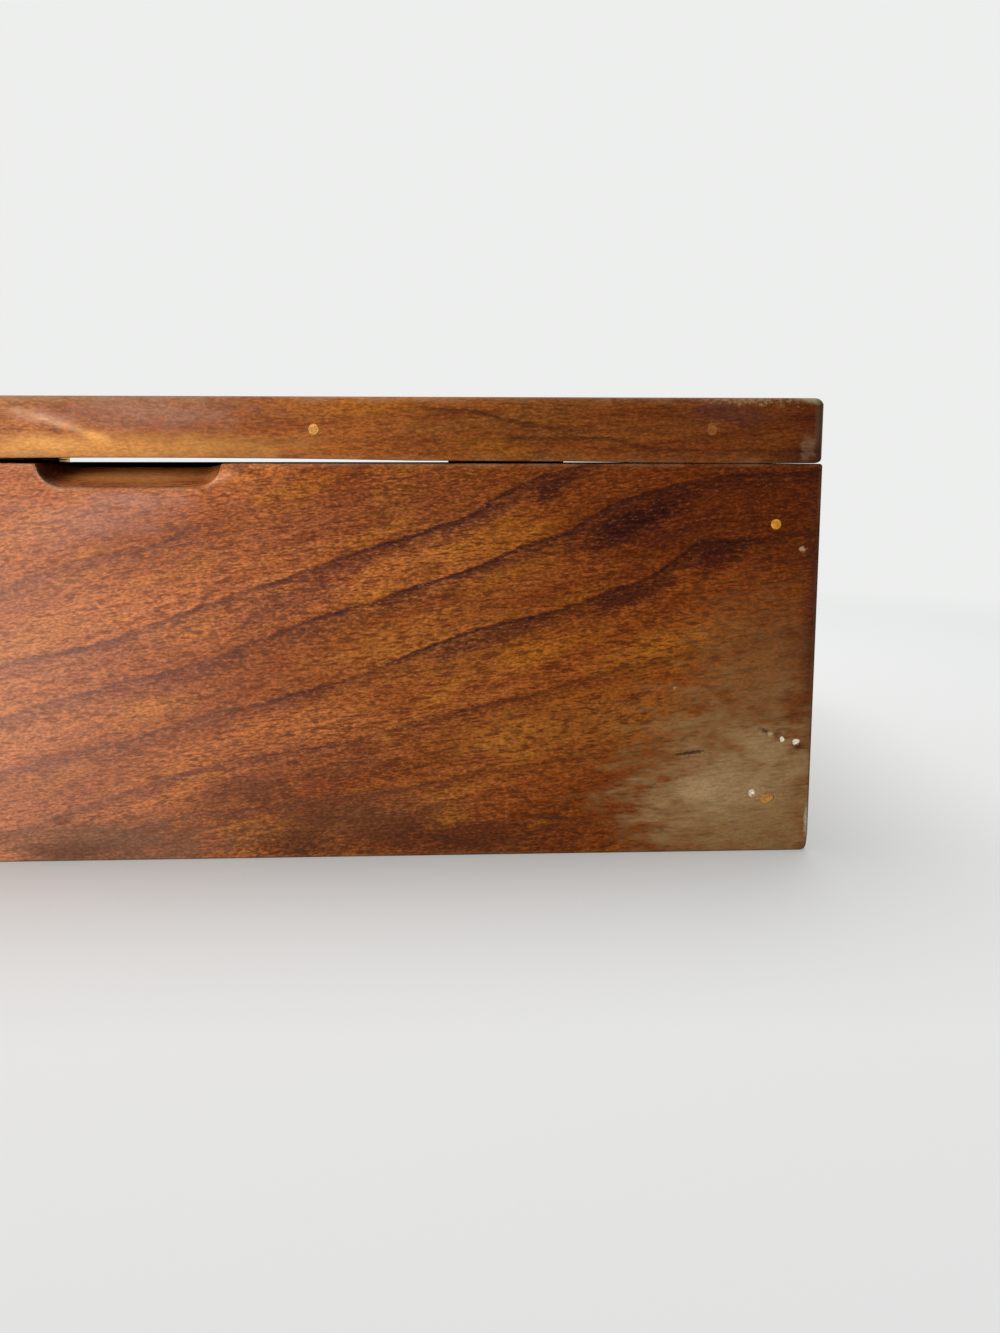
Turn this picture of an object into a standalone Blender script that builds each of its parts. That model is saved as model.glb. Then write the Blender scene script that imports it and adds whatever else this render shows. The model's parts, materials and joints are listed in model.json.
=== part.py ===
"""A keepsake box of pegged boards, with a lid on two brass butt hinges.

Metres, +Z up, the front towards -Y. The origin is on the surface that the box stands on, at the centre of the
box's overall footprint, hinge barrels included. The lid's pieces are children of an empty on the hinge axis,
which leans forward a little: the hinge leaves hold the lid's back edge up, and its front corners come down on
the body.
"""

import math

import bmesh
import bpy
from mathutils import Vector

# Overall sizes of the box
BOX_WIDTH = 0.410
BOX_DEPTH = 0.280
BODY_HEIGHT = 0.120
BOARD_THICKNESS = 0.019

# Gap that every piece keeps to its neighbour, and how far a cutter runs past the face that it cuts
FIT = 0.0003
CUT_OVERRUN = 0.002

# Rounding of the body's outer edges
BODY_ROUNDING = 0.0008
ROUNDING_SEGMENTS = 2

# Bottom panel, held in grooves in the four boards
PANEL_THICKNESS = 0.006
PANEL_LIFT = 0.006
GROOVE_DEPTH = 0.006

# Finger scoop in the front board's top edge: its floor rises from the front face to the inner face
SCOOP_FLOOR_WIDTH = 0.038
SCOOP_END_RADIUS = 0.0075
SCOOP_DEPTH_AT_FRONT = 0.0072
SCOOP_DEPTH_AT_INSIDE = 0.0009
SCOOP_END_STEPS = 8

# Pegs, cut from dowel, and their places at the corners and along the lid's rails
PEG_RADIUS = 0.0016
PEG_SIDES = 20
CORNER_PEG_LENGTH = 0.040
CORNER_PEG_INSET = 0.0135
CORNER_PEG_BELOW_TOP = 0.018
CORNER_PEG_ABOVE_BASE = 0.017
LID_PEG_LENGTH = 0.046
LID_PEG_WIDTH_SHARES = (-0.835, -0.262, 0.262, 0.835)
LID_PEG_HEIGHT_SHARE = 0.5

# Lid: a rail along the front, one along the back, and boards between them
LID_THICKNESS = 0.019
LID_SIDE_OVERHANG = 0.0002
LID_FRONT_SET_BACK = 0.0002
LID_RAIL_WIDTH = 0.025
LID_BOARD_NAMES = ("left", "middle", "right")
LID_TOP_ROUNDING = 0.0018
LID_UNDER_ROUNDING = 0.0006
LID_END_UNDER_ROUNDING = 0.0014
LID_ROUNDING_SEGMENTS = 3

# Hollow under the lid: a broad shallow bow, and a shorter one over the scoop
BROAD_HOLLOW_RISE = 0.0006
BROAD_HOLLOW_HALF_SHARE = 0.80
SCOOP_HOLLOW_RISE = 0.00065
SCOOP_HOLLOW_HALF_SHARE = 0.40
HOLLOW_REACH_SHARE = 0.85
HOLLOW_STEPS = 34

# Butt hinges, each leaf let into the wood for a part of its thickness
HINGE_PLACE_SHARE = 0.61
HINGE_LENGTH = 0.058
LEAF_WIDTH = 0.014
LEAF_THICKNESS = 0.0012
LEAF_PROUD = 0.0009
LEAF_GAP = 0.0005
BARREL_RADIUS = 0.0024
BARREL_SIDES = 24
KNUCKLES = 5
NECK_SET_BACK = 0.0002
PIN_RADIUS = 0.0012
PIN_SIDES = 20

# Hinge screws
SCREW_LENGTH = 0.012
SCREW_HEAD_RADIUS = 0.0022
SCREW_SHANK_RADIUS = 0.0011
SCREW_TIP_LENGTH = 0.003
SCREW_SLOT_WIDTH = 0.0006
SCREW_SLOT_DEPTH = 0.0005
SCREW_SIDES = 16
SCREW_PLACE_SHARES = (-0.36, 0.0, 0.36)
SCREW_ACROSS_SHARE = 0.55

# Places worked out from the sizes above
HALF_WIDTH = BOX_WIDTH / 2
HALF_INSIDE = HALF_WIDTH - BOARD_THICKNESS
OVERALL_DEPTH = BOX_DEPTH + FIT + 2 * BARREL_RADIUS
FRONT_Y = -OVERALL_DEPTH / 2
BACK_Y = FRONT_Y + BOX_DEPTH
INNER_FRONT_Y = FRONT_Y + BOARD_THICKNESS
INNER_BACK_Y = BACK_Y - BOARD_THICKNESS
LID_HALF_WIDTH = HALF_WIDTH + LID_SIDE_OVERHANG
AXIS_Y = BACK_Y + FIT + BARREL_RADIUS
AXIS_Z = BODY_HEIGHT + LEAF_PROUD + LEAF_GAP / 2
BODY_LEAF_FACE_Z = AXIS_Z - LEAF_GAP / 2
LID_LEAF_FACE_Z = AXIS_Z + LEAF_GAP / 2
LID_FRONT_Y = FRONT_Y + LID_FRONT_SET_BACK
LID_UNDER_Z = LID_LEAF_FACE_Z + LEAF_PROUD
LID_TOP_Z = LID_UNDER_Z + LID_THICKNESS
RAIL_INNER_FRONT_Y = LID_FRONT_Y + LID_RAIL_WIDTH
RAIL_INNER_BACK_Y = BACK_Y - LID_RAIL_WIDTH
GAIN_DEPTH = LEAF_THICKNESS - LEAF_PROUD + FIT
HINGE_X = HINGE_PLACE_SHARE * HALF_WIDTH
BORE_RADIUS = PIN_RADIUS + FIT
PEG_HOLE_RADIUS = PEG_RADIUS + FIT
MERGE_DISTANCE = 0.000001
SHARP_ANGLE = math.radians(40)

# Finishes as colour, roughness and metallic value
BODY_WOOD = ((0.235, 0.105, 0.048), 0.45, 0.0)
LID_WOOD = ((0.265, 0.135, 0.065), 0.45, 0.0)
PEG_WOOD = ((0.560, 0.360, 0.170), 0.55, 0.0)
PANEL_WOOD = ((0.420, 0.270, 0.150), 0.60, 0.0)
BRASS = ((0.560, 0.410, 0.180), 0.35, 1.0)
SCREW_BRASS = ((0.600, 0.450, 0.210), 0.30, 1.0)


def clear_scene():
    """Removes every object that the scene starts with."""
    for obj in list(bpy.data.objects):
        bpy.data.objects.remove(obj, do_unlink=True)


def new_collection(name, parent):
    """A collection of that name inside another one."""
    made = bpy.data.collections.new(name)
    parent.children.link(made)
    return made


def principled(name, finish):
    """A Principled material from (colour, roughness, metallic)."""
    colour, roughness, metallic = finish
    made = bpy.data.materials.new(name)
    made.use_nodes = True
    shader = made.node_tree.nodes["Principled BSDF"]
    shader.inputs["Base Color"].default_value = (*colour, 1.0)
    shader.inputs["Roughness"].default_value = roughness
    shader.inputs["Metallic"].default_value = metallic
    made.diffuse_color = (*colour, 1.0)
    return made


def place(obj, centre, parent):
    """Puts an object at a world place, under its body's empty."""
    obj.parent = parent
    obj.location = Vector(centre) - (parent.location if parent else Vector())


def cuboid(name, low, high, collection, parent=None, rounding_of=None, segments=ROUNDING_SEGMENTS):
    """A box between two corners. rounding_of takes the sides that meet at an edge and returns its width."""
    low = Vector(low)
    high = Vector(high)
    size = high - low
    bm = bmesh.new()
    bmesh.ops.create_cube(bm, size=1)
    weight = bm.edges.layers.float.new("bevel_weight_edge")
    widths = {}
    for edge in bm.edges:
        middle = (edge.verts[0].co + edge.verts[1].co) / 2
        sides = {
            axis + ("+" if value > 0 else "-")
            for axis, value in zip("xyz", middle)
            if abs(value) > 0.25
        }
        widths[edge] = rounding_of(sides) if rounding_of else 0
    widest = max(widths.values())
    if widest > 0:
        for edge, width in widths.items():
            edge[weight] = width / widest
    bmesh.ops.scale(bm, vec=size, verts=bm.verts)
    mesh = bpy.data.meshes.new(name)
    bm.to_mesh(mesh)
    bm.free()
    obj = bpy.data.objects.new(name, mesh)
    collection.objects.link(obj)
    place(obj, (low + high) / 2, parent)
    if widest > 0:
        bevel = obj.modifiers.new("rounded edges", "BEVEL")
        bevel.width = widest
        bevel.segments = segments
        bevel.limit_method = "WEIGHT"
        bevel.use_clamp_overlap = True
    return obj


def cylinder(name, radius, length, sides, centre, rotation, collection, parent=None):
    """A cylinder of that length, along its own Z before it is turned."""
    bm = bmesh.new()
    bmesh.ops.create_cone(
        bm, cap_ends=True, segments=sides, radius1=radius, radius2=radius, depth=length
    )
    mesh = bpy.data.meshes.new(name)
    bm.to_mesh(mesh)
    bm.free()
    obj = bpy.data.objects.new(name, mesh)
    collection.objects.link(obj)
    obj.rotation_euler = rotation
    place(obj, centre, parent)
    return obj


def turned(name, profile, centre, rotation, collection, parent=None):
    """A turned solid from (radius, height) points that run from the top of its axis to the bottom."""
    bm = bmesh.new()
    points = [bm.verts.new((radius, 0, height)) for radius, height in profile]
    for first, second in zip(points, points[1:]):
        bm.edges.new((first, second))
    mesh = bpy.data.meshes.new(name)
    bm.to_mesh(mesh)
    bm.free()
    obj = bpy.data.objects.new(name, mesh)
    collection.objects.link(obj)
    obj.rotation_euler = rotation
    place(obj, centre, parent)
    screw = obj.modifiers.new("turned", "SCREW")
    screw.axis = "Z"
    screw.steps = SCREW_SIDES
    screw.render_steps = SCREW_SIDES
    screw.use_merge_vertices = True
    screw.merge_threshold = MERGE_DISTANCE
    return obj


def outline_prism(name, points, length, centre, rotation, collection, parent):
    """A closed outline in its own XY plane, given a thickness along its own Z."""
    curve = bpy.data.curves.new(name, "CURVE")
    curve.dimensions = "2D"
    curve.fill_mode = "BOTH"
    curve.extrude = length / 2
    spline = curve.splines.new("POLY")
    spline.points.add(len(points) - 1)
    for point, (across, up) in zip(spline.points, points):
        point.co = (across, up, 0, 1)
    spline.use_cyclic_u = True
    drawn = bpy.data.objects.new(name + "_outline", curve)
    collection.objects.link(drawn)
    drawn.rotation_euler = rotation
    drawn.location = centre
    bpy.context.view_layer.update()
    graph = bpy.context.evaluated_depsgraph_get()
    mesh = bpy.data.meshes.new_from_object(drawn.evaluated_get(graph))
    bm = bmesh.new()
    bm.from_mesh(mesh)
    bmesh.ops.remove_doubles(bm, verts=bm.verts, dist=MERGE_DISTANCE)
    bmesh.ops.recalc_face_normals(bm, faces=bm.faces)
    bm.to_mesh(mesh)
    bm.free()
    obj = bpy.data.objects.new(name, mesh)
    collection.objects.link(obj)
    obj.matrix_world = drawn.matrix_world
    place(obj, centre, parent)
    bpy.data.objects.remove(drawn, do_unlink=True)
    return obj


def combine(obj, step_name, operation, others):
    """Joins other objects to this one, or cuts them from it, and hides them from the render."""
    group = new_collection(f"{obj.name}_{step_name}", CUTTERS)
    for other in others:
        for holder in list(other.users_collection):
            holder.objects.unlink(other)
        group.objects.link(other)
        other.hide_render = True
        other.display_type = "WIRE"
    step = obj.modifiers.new(step_name, "BOOLEAN")
    step.operation = operation
    step.solver = "EXACT"
    step.operand_type = "COLLECTION"
    step.collection = group


def finish(obj, look, round_piece=False):
    """Gives a piece its own material, and smooth shading where it is round."""
    obj.data.materials.append(principled(obj.name + "_finish", look))
    if round_piece:
        obj.data.shade_smooth()
        obj.data.set_sharp_from_angle(angle=SHARP_ANGLE)


def cutting_block(name, low, high, parent):
    """A box-shaped cutter between two corners."""
    return cuboid(name, low, high, CUTTERS, parent)


def along_y_hole(name, x, z, start_y, end_y, parent):
    """A cutter for a peg's hole that runs along Y between two places."""
    return cylinder(
        name,
        PEG_HOLE_RADIUS,
        abs(end_y - start_y),
        PEG_SIDES,
        (x, (start_y + end_y) / 2, z),
        (math.pi / 2, 0, 0),
        CUTTERS,
        parent,
    )


def corner_peg_places():
    """(side name, level name, x, z) of the two pegs at each end of the front and back boards."""
    sides = (("left", -1), ("right", 1))
    levels = (
        ("upper", BODY_HEIGHT - CORNER_PEG_BELOW_TOP),
        ("lower", CORNER_PEG_ABOVE_BASE),
    )
    return [
        (side, level, sign * (HALF_WIDTH - CORNER_PEG_INSET), z)
        for side, sign in sides
        for level, z in levels
    ]


def lid_peg_xs():
    """The x of each peg along a lid rail, from left to right."""
    return [share * LID_HALF_WIDTH for share in LID_PEG_WIDTH_SHARES]


def lid_peg_z():
    """The height of the pegs' centres in the lid's edge."""
    return LID_UNDER_Z + LID_PEG_HEIGHT_SHARE * LID_THICKNESS


def hinge_places():
    """(name, x) of the two hinges."""
    return (("left", -HINGE_X), ("right", HINGE_X))


def screw_places(hinge_x):
    """(x, y) of the three screws in each leaf of a hinge."""
    y = BACK_Y - SCREW_ACROSS_SHARE * LEAF_WIDTH
    return [(hinge_x + share * HINGE_LENGTH, y) for share in SCREW_PLACE_SHARES]


def scoop_outline():
    """The scoop's outline across its own slope: a flat floor between two quarter arcs, open at the top."""
    half_floor = SCOOP_FLOOR_WIDTH / 2
    floor = -SCOOP_DEPTH_AT_FRONT * math.cos(scoop_slope())
    top = floor + SCOOP_END_RADIUS + CUT_OVERRUN + SCOOP_DEPTH_AT_FRONT
    arc = [
        (
            half_floor + SCOOP_END_RADIUS * math.sin(step * math.pi / 2 / SCOOP_END_STEPS),
            floor + SCOOP_END_RADIUS * (1 - math.cos(step * math.pi / 2 / SCOOP_END_STEPS)),
        )
        for step in range(SCOOP_END_STEPS + 1)
    ]
    right = arc + [(half_floor + SCOOP_END_RADIUS, top)]
    left = [(-x, y) for x, y in reversed(right)]
    return right + left


def scoop_slope():
    """How steeply the scoop's floor rises from the front face to the inside."""
    return math.atan((SCOOP_DEPTH_AT_FRONT - SCOOP_DEPTH_AT_INSIDE) / BOARD_THICKNESS)


def hollow_height(x):
    """How far the lid's underside lies above its ends at x. It is negative outside the broad hollow."""
    broad = BROAD_HOLLOW_RISE * (1 - (x / (BROAD_HOLLOW_HALF_SHARE * LID_HALF_WIDTH)) ** 2)
    local = SCOOP_HOLLOW_RISE * (1 - (x / (SCOOP_HOLLOW_HALF_SHARE * LID_HALF_WIDTH)) ** 2)
    return broad + max(local, 0)


def hollow_cutter(name, low_y, high_y):
    """The cutter that hollows the underside of a lid piece between two places along Y."""
    reach = HOLLOW_REACH_SHARE * LID_HALF_WIDTH
    xs = [reach * (2 * step / HOLLOW_STEPS - 1) for step in range(HOLLOW_STEPS + 1)]
    points = [(x, hollow_height(x)) for x in reversed(xs)]
    points += [(-reach, -CUT_OVERRUN), (reach, -CUT_OVERRUN)]
    return outline_prism(
        name,
        points,
        high_y - low_y + 2 * CUT_OVERRUN,
        (0, (low_y + high_y) / 2, LID_UNDER_Z),
        (math.pi / 2, 0, 0),
        CUTTERS,
        LID,
    )


def across_groove(name, low_y, high_y):
    """The stopped groove in the front or back board that holds the bottom panel."""
    reach = HALF_INSIDE + GROOVE_DEPTH
    return cutting_block(
        name,
        (-reach, low_y, PANEL_LIFT),
        (reach, high_y, PANEL_LIFT + PANEL_THICKNESS + 2 * FIT),
        BODY,
    )


def gain(name, hinge_x, below):
    """The shallow recess for one leaf, in the back board's top edge or in the lid's back rail."""
    reach = HINGE_LENGTH / 2 + FIT
    low_y = BACK_Y - LEAF_WIDTH - FIT
    if below:
        low_z = BODY_HEIGHT - GAIN_DEPTH
        high_z = BODY_HEIGHT + CUT_OVERRUN
    else:
        low_z = LID_UNDER_Z - CUT_OVERRUN
        high_z = LID_UNDER_Z + GAIN_DEPTH
    return cutting_block(
        name,
        (hinge_x - reach, low_y, low_z),
        (hinge_x + reach, BACK_Y + CUT_OVERRUN, high_z),
        BODY if below else LID,
    )


def pilot_hole(name, x, y, below):
    """The hole for a screw's shank, from the leaf into the wood."""
    length = SCREW_LENGTH + FIT
    centre_z = BODY_LEAF_FACE_Z - length / 2 if below else LID_LEAF_FACE_Z + length / 2
    return cylinder(
        name,
        SCREW_SHANK_RADIUS + FIT,
        length,
        SCREW_SIDES,
        (x, y, centre_z),
        (0, 0, 0),
        CUTTERS,
        BODY if below else LID,
    )


def hinge_cuts(owner, below):
    """Both hinges' gains and pilot holes for one board."""
    cuts = []
    for side, hinge_x in hinge_places():
        cuts.append(gain(f"{owner}_{side}_gain", hinge_x, below))
        for number, (x, y) in enumerate(screw_places(hinge_x), 1):
            cuts.append(pilot_hole(f"{owner}_{side}_pilot_{number}", x, y, below))
    return cuts


def peg_cuts(owner, start_y, end_y):
    """The corner pegs' holes through the front or back board."""
    return [
        along_y_hole(f"{owner}_{side}_{level}_hole", x, z, start_y, end_y, BODY)
        for side, level, x, z in corner_peg_places()
    ]


def end_board_rounding(outer):
    """Which edges of the front or back board are rounded: those of its outer face and of its two ends."""

    def rounding_of(sides):
        if outer in sides:
            return BODY_ROUNDING
        if sides & {"x-", "x+"} and sides & {"z-", "z+"}:
            return BODY_ROUNDING
        return 0

    return rounding_of


def side_board_rounding(outer):
    """Which edges of a side board are rounded: the top and bottom edges of its outer face."""

    def rounding_of(sides):
        if outer in sides and sides & {"z-", "z+"}:
            return BODY_ROUNDING
        return 0

    return rounding_of


def front_board():
    """The front board, with its scoop, the panel's groove and the peg holes."""
    board = cuboid(
        "front_board",
        (-HALF_WIDTH, FRONT_Y, 0),
        (HALF_WIDTH, INNER_FRONT_Y, BODY_HEIGHT),
        BOX,
        BODY,
        end_board_rounding("y-"),
    )
    scoop = outline_prism(
        "scoop",
        scoop_outline(),
        2 * (BOARD_THICKNESS + CUT_OVERRUN) / math.cos(scoop_slope()),
        (0, FRONT_Y, BODY_HEIGHT),
        (math.pi / 2 + scoop_slope(), 0, 0),
        CUTTERS,
        BODY,
    )
    groove = across_groove(
        "front_groove", INNER_FRONT_Y - GROOVE_DEPTH, INNER_FRONT_Y + CUT_OVERRUN
    )
    holes = peg_cuts("front_board", FRONT_Y - CUT_OVERRUN, INNER_FRONT_Y + CUT_OVERRUN)
    combine(board, "cuts", "DIFFERENCE", [scoop, groove, *holes])
    finish(board, BODY_WOOD)


def back_board():
    """The back board, with the panel's groove, the peg holes and the hinges' gains."""
    board = cuboid(
        "back_board",
        (-HALF_WIDTH, INNER_BACK_Y, 0),
        (HALF_WIDTH, BACK_Y, BODY_HEIGHT),
        BOX,
        BODY,
        end_board_rounding("y+"),
    )
    groove = across_groove(
        "back_groove", INNER_BACK_Y - CUT_OVERRUN, INNER_BACK_Y + GROOVE_DEPTH
    )
    holes = peg_cuts("back_board", INNER_BACK_Y - CUT_OVERRUN, BACK_Y + CUT_OVERRUN)
    combine(board, "cuts", "DIFFERENCE", [groove, *holes, *hinge_cuts("back_board", True)])
    finish(board, BODY_WOOD)


def side_board(side, sign):
    """A side board between the front and back boards, with the panel's groove and blind peg holes."""
    low_y = INNER_FRONT_Y + FIT
    high_y = INNER_BACK_Y - FIT
    outer_x = sign * HALF_WIDTH
    inner_x = sign * HALF_INSIDE
    board = cuboid(
        f"{side}_side_board",
        (min(outer_x, inner_x), low_y, 0),
        (max(outer_x, inner_x), high_y, BODY_HEIGHT),
        BOX,
        BODY,
        side_board_rounding("x+" if sign > 0 else "x-"),
    )
    groove_xs = (inner_x - sign * CUT_OVERRUN, inner_x + sign * GROOVE_DEPTH)
    groove = cutting_block(
        f"{side}_groove",
        (min(groove_xs), low_y - CUT_OVERRUN, PANEL_LIFT),
        (max(groove_xs), high_y + CUT_OVERRUN, PANEL_LIFT + PANEL_THICKNESS + 2 * FIT),
        BODY,
    )
    holes = []
    front_end = FRONT_Y + CORNER_PEG_LENGTH + FIT
    back_end = BACK_Y - CORNER_PEG_LENGTH - FIT
    for peg_side, level, x, z in corner_peg_places():
        if peg_side == side:
            name = f"{side}_{level}"
            holes.append(along_y_hole(f"{name}_front_socket", x, z, FRONT_Y, front_end, BODY))
            holes.append(along_y_hole(f"{name}_back_socket", x, z, back_end, BACK_Y, BODY))
    combine(board, "cuts", "DIFFERENCE", [groove, *holes])
    finish(board, BODY_WOOD)


def bottom_panel():
    """The panel that floats in the boards' grooves."""
    reach_x = HALF_INSIDE + GROOVE_DEPTH - FIT
    reach_y = GROOVE_DEPTH - FIT
    panel = cuboid(
        "bottom_panel",
        (-reach_x, INNER_FRONT_Y - reach_y, PANEL_LIFT + FIT),
        (reach_x, INNER_BACK_Y + reach_y, PANEL_LIFT + FIT + PANEL_THICKNESS),
        BOX,
        BODY,
    )
    finish(panel, PANEL_WOOD)


def peg(name, x, z, start_y, end_y, parent):
    """A peg along Y between two places."""
    made = cylinder(
        name,
        PEG_RADIUS,
        abs(end_y - start_y),
        PEG_SIDES,
        (x, (start_y + end_y) / 2, z),
        (math.pi / 2, 0, 0),
        BOX,
        parent,
    )
    finish(made, PEG_WOOD, round_piece=True)


def corner_pegs():
    """Two pegs at each corner, through the front and back boards into the ends of the side boards."""
    for side, level, x, z in corner_peg_places():
        peg(f"corner_peg_front_{side}_{level}", x, z, FRONT_Y, FRONT_Y + CORNER_PEG_LENGTH, BODY)
        peg(f"corner_peg_back_{side}_{level}", x, z, BACK_Y - CORNER_PEG_LENGTH, BACK_Y, BODY)


def rail_rounding(outer):
    """The widths of a lid rail's rounded edges: along its outer face, and at both ends."""

    def rounding_of(sides):
        at_end = bool(sides & {"x-", "x+"})
        if not (outer in sides or at_end):
            return 0
        if "z+" in sides:
            return LID_TOP_ROUNDING
        if "z-" in sides:
            return LID_END_UNDER_ROUNDING if at_end else LID_UNDER_ROUNDING
        return LID_TOP_ROUNDING if outer in sides and at_end else 0

    return rounding_of


def lid_board_rounding(outer):
    """The widths of a lid board's rounded edges. outer is its side at the lid's edge, or None."""

    def rounding_of(sides):
        if outer is None or outer not in sides:
            return 0
        if "z+" in sides:
            return LID_TOP_ROUNDING
        if "z-" in sides:
            return LID_END_UNDER_ROUNDING
        return 0

    return rounding_of


def lid_rail(place_name, low_y, high_y, outer):
    """The rail along the lid's front or back edge, hollowed beneath, with its peg holes."""
    name = f"lid_{place_name}_rail"
    rail = cuboid(
        name,
        (-LID_HALF_WIDTH, low_y, LID_UNDER_Z),
        (LID_HALF_WIDTH, high_y, LID_TOP_Z),
        BOX,
        LID,
        rail_rounding(outer),
        LID_ROUNDING_SEGMENTS,
    )
    cuts = [hollow_cutter(f"{name}_hollow", low_y, high_y)]
    for number, x in enumerate(lid_peg_xs(), 1):
        cuts.append(
            along_y_hole(
                f"{name}_hole_{number}",
                x,
                lid_peg_z(),
                low_y - CUT_OVERRUN,
                high_y + CUT_OVERRUN,
                LID,
            )
        )
    if place_name == "back":
        cuts += hinge_cuts(name, False)
    combine(rail, "cuts", "DIFFERENCE", cuts)
    finish(rail, LID_WOOD)


def lid_boards():
    """The boards that run from front to back between the rails, with blind peg holes in their ends."""
    low_y = RAIL_INNER_FRONT_Y + FIT
    high_y = RAIL_INNER_BACK_Y - FIT
    width = 2 * LID_HALF_WIDTH / len(LID_BOARD_NAMES)
    outers = {0: "x-", len(LID_BOARD_NAMES) - 1: "x+"}
    front_end = LID_FRONT_Y + LID_PEG_LENGTH + FIT
    back_end = BACK_Y - LID_PEG_LENGTH - FIT
    z = lid_peg_z()
    for index, board_name in enumerate(LID_BOARD_NAMES):
        name = f"lid_board_{board_name}"
        low_x = -LID_HALF_WIDTH + index * width + (FIT / 2 if index else 0)
        last = index == len(LID_BOARD_NAMES) - 1
        high_x = -LID_HALF_WIDTH + (index + 1) * width - (0 if last else FIT / 2)
        board = cuboid(
            name,
            (low_x, low_y, LID_UNDER_Z),
            (high_x, high_y, LID_TOP_Z),
            BOX,
            LID,
            lid_board_rounding(outers.get(index)),
            LID_ROUNDING_SEGMENTS,
        )
        cuts = [hollow_cutter(f"{name}_hollow", low_y, high_y)]
        for number, x in enumerate(lid_peg_xs(), 1):
            if low_x < x < high_x:
                socket = f"{name}_socket_{number}"
                cuts.append(along_y_hole(f"{socket}_front", x, z, LID_FRONT_Y, front_end, LID))
                cuts.append(along_y_hole(f"{socket}_back", x, z, back_end, BACK_Y, LID))
        combine(board, "cuts", "DIFFERENCE", cuts)
        finish(board, LID_WOOD)


def lid_pegs():
    """Four pegs through each rail into the ends of the lid boards."""
    z = lid_peg_z()
    for number, x in enumerate(lid_peg_xs(), 1):
        peg(f"lid_peg_front_{number}", x, z, LID_FRONT_Y, LID_FRONT_Y + LID_PEG_LENGTH, LID)
        peg(f"lid_peg_back_{number}", x, z, BACK_Y - LID_PEG_LENGTH, BACK_Y, LID)


def knuckle_span(hinge_x, index):
    """The low and high x of one knuckle of a hinge's barrel."""
    pitch = HINGE_LENGTH / KNUCKLES
    low = hinge_x - HINGE_LENGTH / 2 + index * pitch
    high = low + pitch
    if index > 0:
        low += FIT / 2
    if index < KNUCKLES - 1:
        high -= FIT / 2
    return low, high


def screw_sink(name, x, y, below):
    """The cutter for a screw's countersunk hole through a leaf."""
    slope = (SCREW_HEAD_RADIUS - SCREW_SHANK_RADIUS) / LEAF_THICKNESS
    top_radius = SCREW_HEAD_RADIUS + FIT + slope * CUT_OVERRUN
    shank_radius = SCREW_SHANK_RADIUS + FIT
    profile = (
        (0, CUT_OVERRUN),
        (top_radius, CUT_OVERRUN),
        (shank_radius, -LEAF_THICKNESS),
        (shank_radius, -LEAF_THICKNESS - CUT_OVERRUN),
        (0, -LEAF_THICKNESS - CUT_OVERRUN),
    )
    face_z = BODY_LEAF_FACE_Z if below else LID_LEAF_FACE_Z
    turn = (0, 0, 0) if below else (math.pi, 0, 0)
    return turned(name, profile, (x, y, face_z), turn, CUTTERS, BODY if below else LID)


def hinge_leaf(side, hinge_x, below):
    """One leaf: a plate with countersunk holes, and every second knuckle of the barrel."""
    owner = "body" if below else "lid"
    name = f"hinge_{side}_{owner}_leaf"
    parent = BODY if below else LID
    low_z = BODY_LEAF_FACE_Z - LEAF_THICKNESS if below else LID_LEAF_FACE_Z
    half = HINGE_LENGTH / 2
    leaf = cuboid(
        name,
        (hinge_x - half, BACK_Y - LEAF_WIDTH, low_z),
        (hinge_x + half, AXIS_Y, low_z + LEAF_THICKNESS),
        BOX,
        parent,
    )
    own_first = 0 if below else 1
    notches = []
    knuckles = []
    for index in range(KNUCKLES):
        low_x, high_x = knuckle_span(hinge_x, index)
        if index % 2 == own_first:
            knuckles.append(
                cylinder(
                    f"{name}_knuckle_{index + 1}",
                    BARREL_RADIUS,
                    high_x - low_x,
                    BARREL_SIDES,
                    ((low_x + high_x) / 2, AXIS_Y, AXIS_Z),
                    (0, math.pi / 2, 0),
                    CUTTERS,
                    parent,
                )
            )
            continue
        low_end = index == 0
        high_end = index == KNUCKLES - 1
        notches.append(
            cutting_block(
                f"{name}_notch_{index + 1}",
                (
                    low_x - (CUT_OVERRUN if low_end else FIT + NECK_SET_BACK),
                    AXIS_Y - BARREL_RADIUS - FIT,
                    low_z - CUT_OVERRUN,
                ),
                (
                    high_x + (CUT_OVERRUN if high_end else FIT + NECK_SET_BACK),
                    AXIS_Y + CUT_OVERRUN,
                    low_z + LEAF_THICKNESS + CUT_OVERRUN,
                ),
                parent,
            )
        )
    combine(leaf, "notched", "DIFFERENCE", notches)
    combine(leaf, "knuckled", "UNION", knuckles)
    bore = cylinder(
        f"{name}_bore",
        BORE_RADIUS,
        HINGE_LENGTH + 2 * CUT_OVERRUN,
        PIN_SIDES,
        (hinge_x, AXIS_Y, AXIS_Z),
        (0, math.pi / 2, 0),
        CUTTERS,
        parent,
    )
    sinks = [
        screw_sink(f"{name}_sink_{number}", x, y, below)
        for number, (x, y) in enumerate(screw_places(hinge_x), 1)
    ]
    combine(leaf, "bored", "DIFFERENCE", [bore, *sinks])
    finish(leaf, BRASS)


def hinge_pin(side, hinge_x):
    """The pin through a hinge's knuckles."""
    pin = cylinder(
        f"hinge_{side}_pin",
        PIN_RADIUS,
        HINGE_LENGTH,
        PIN_SIDES,
        (hinge_x, AXIS_Y, AXIS_Z),
        (0, math.pi / 2, 0),
        BOX,
        BODY,
    )
    finish(pin, BRASS, round_piece=True)


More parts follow.
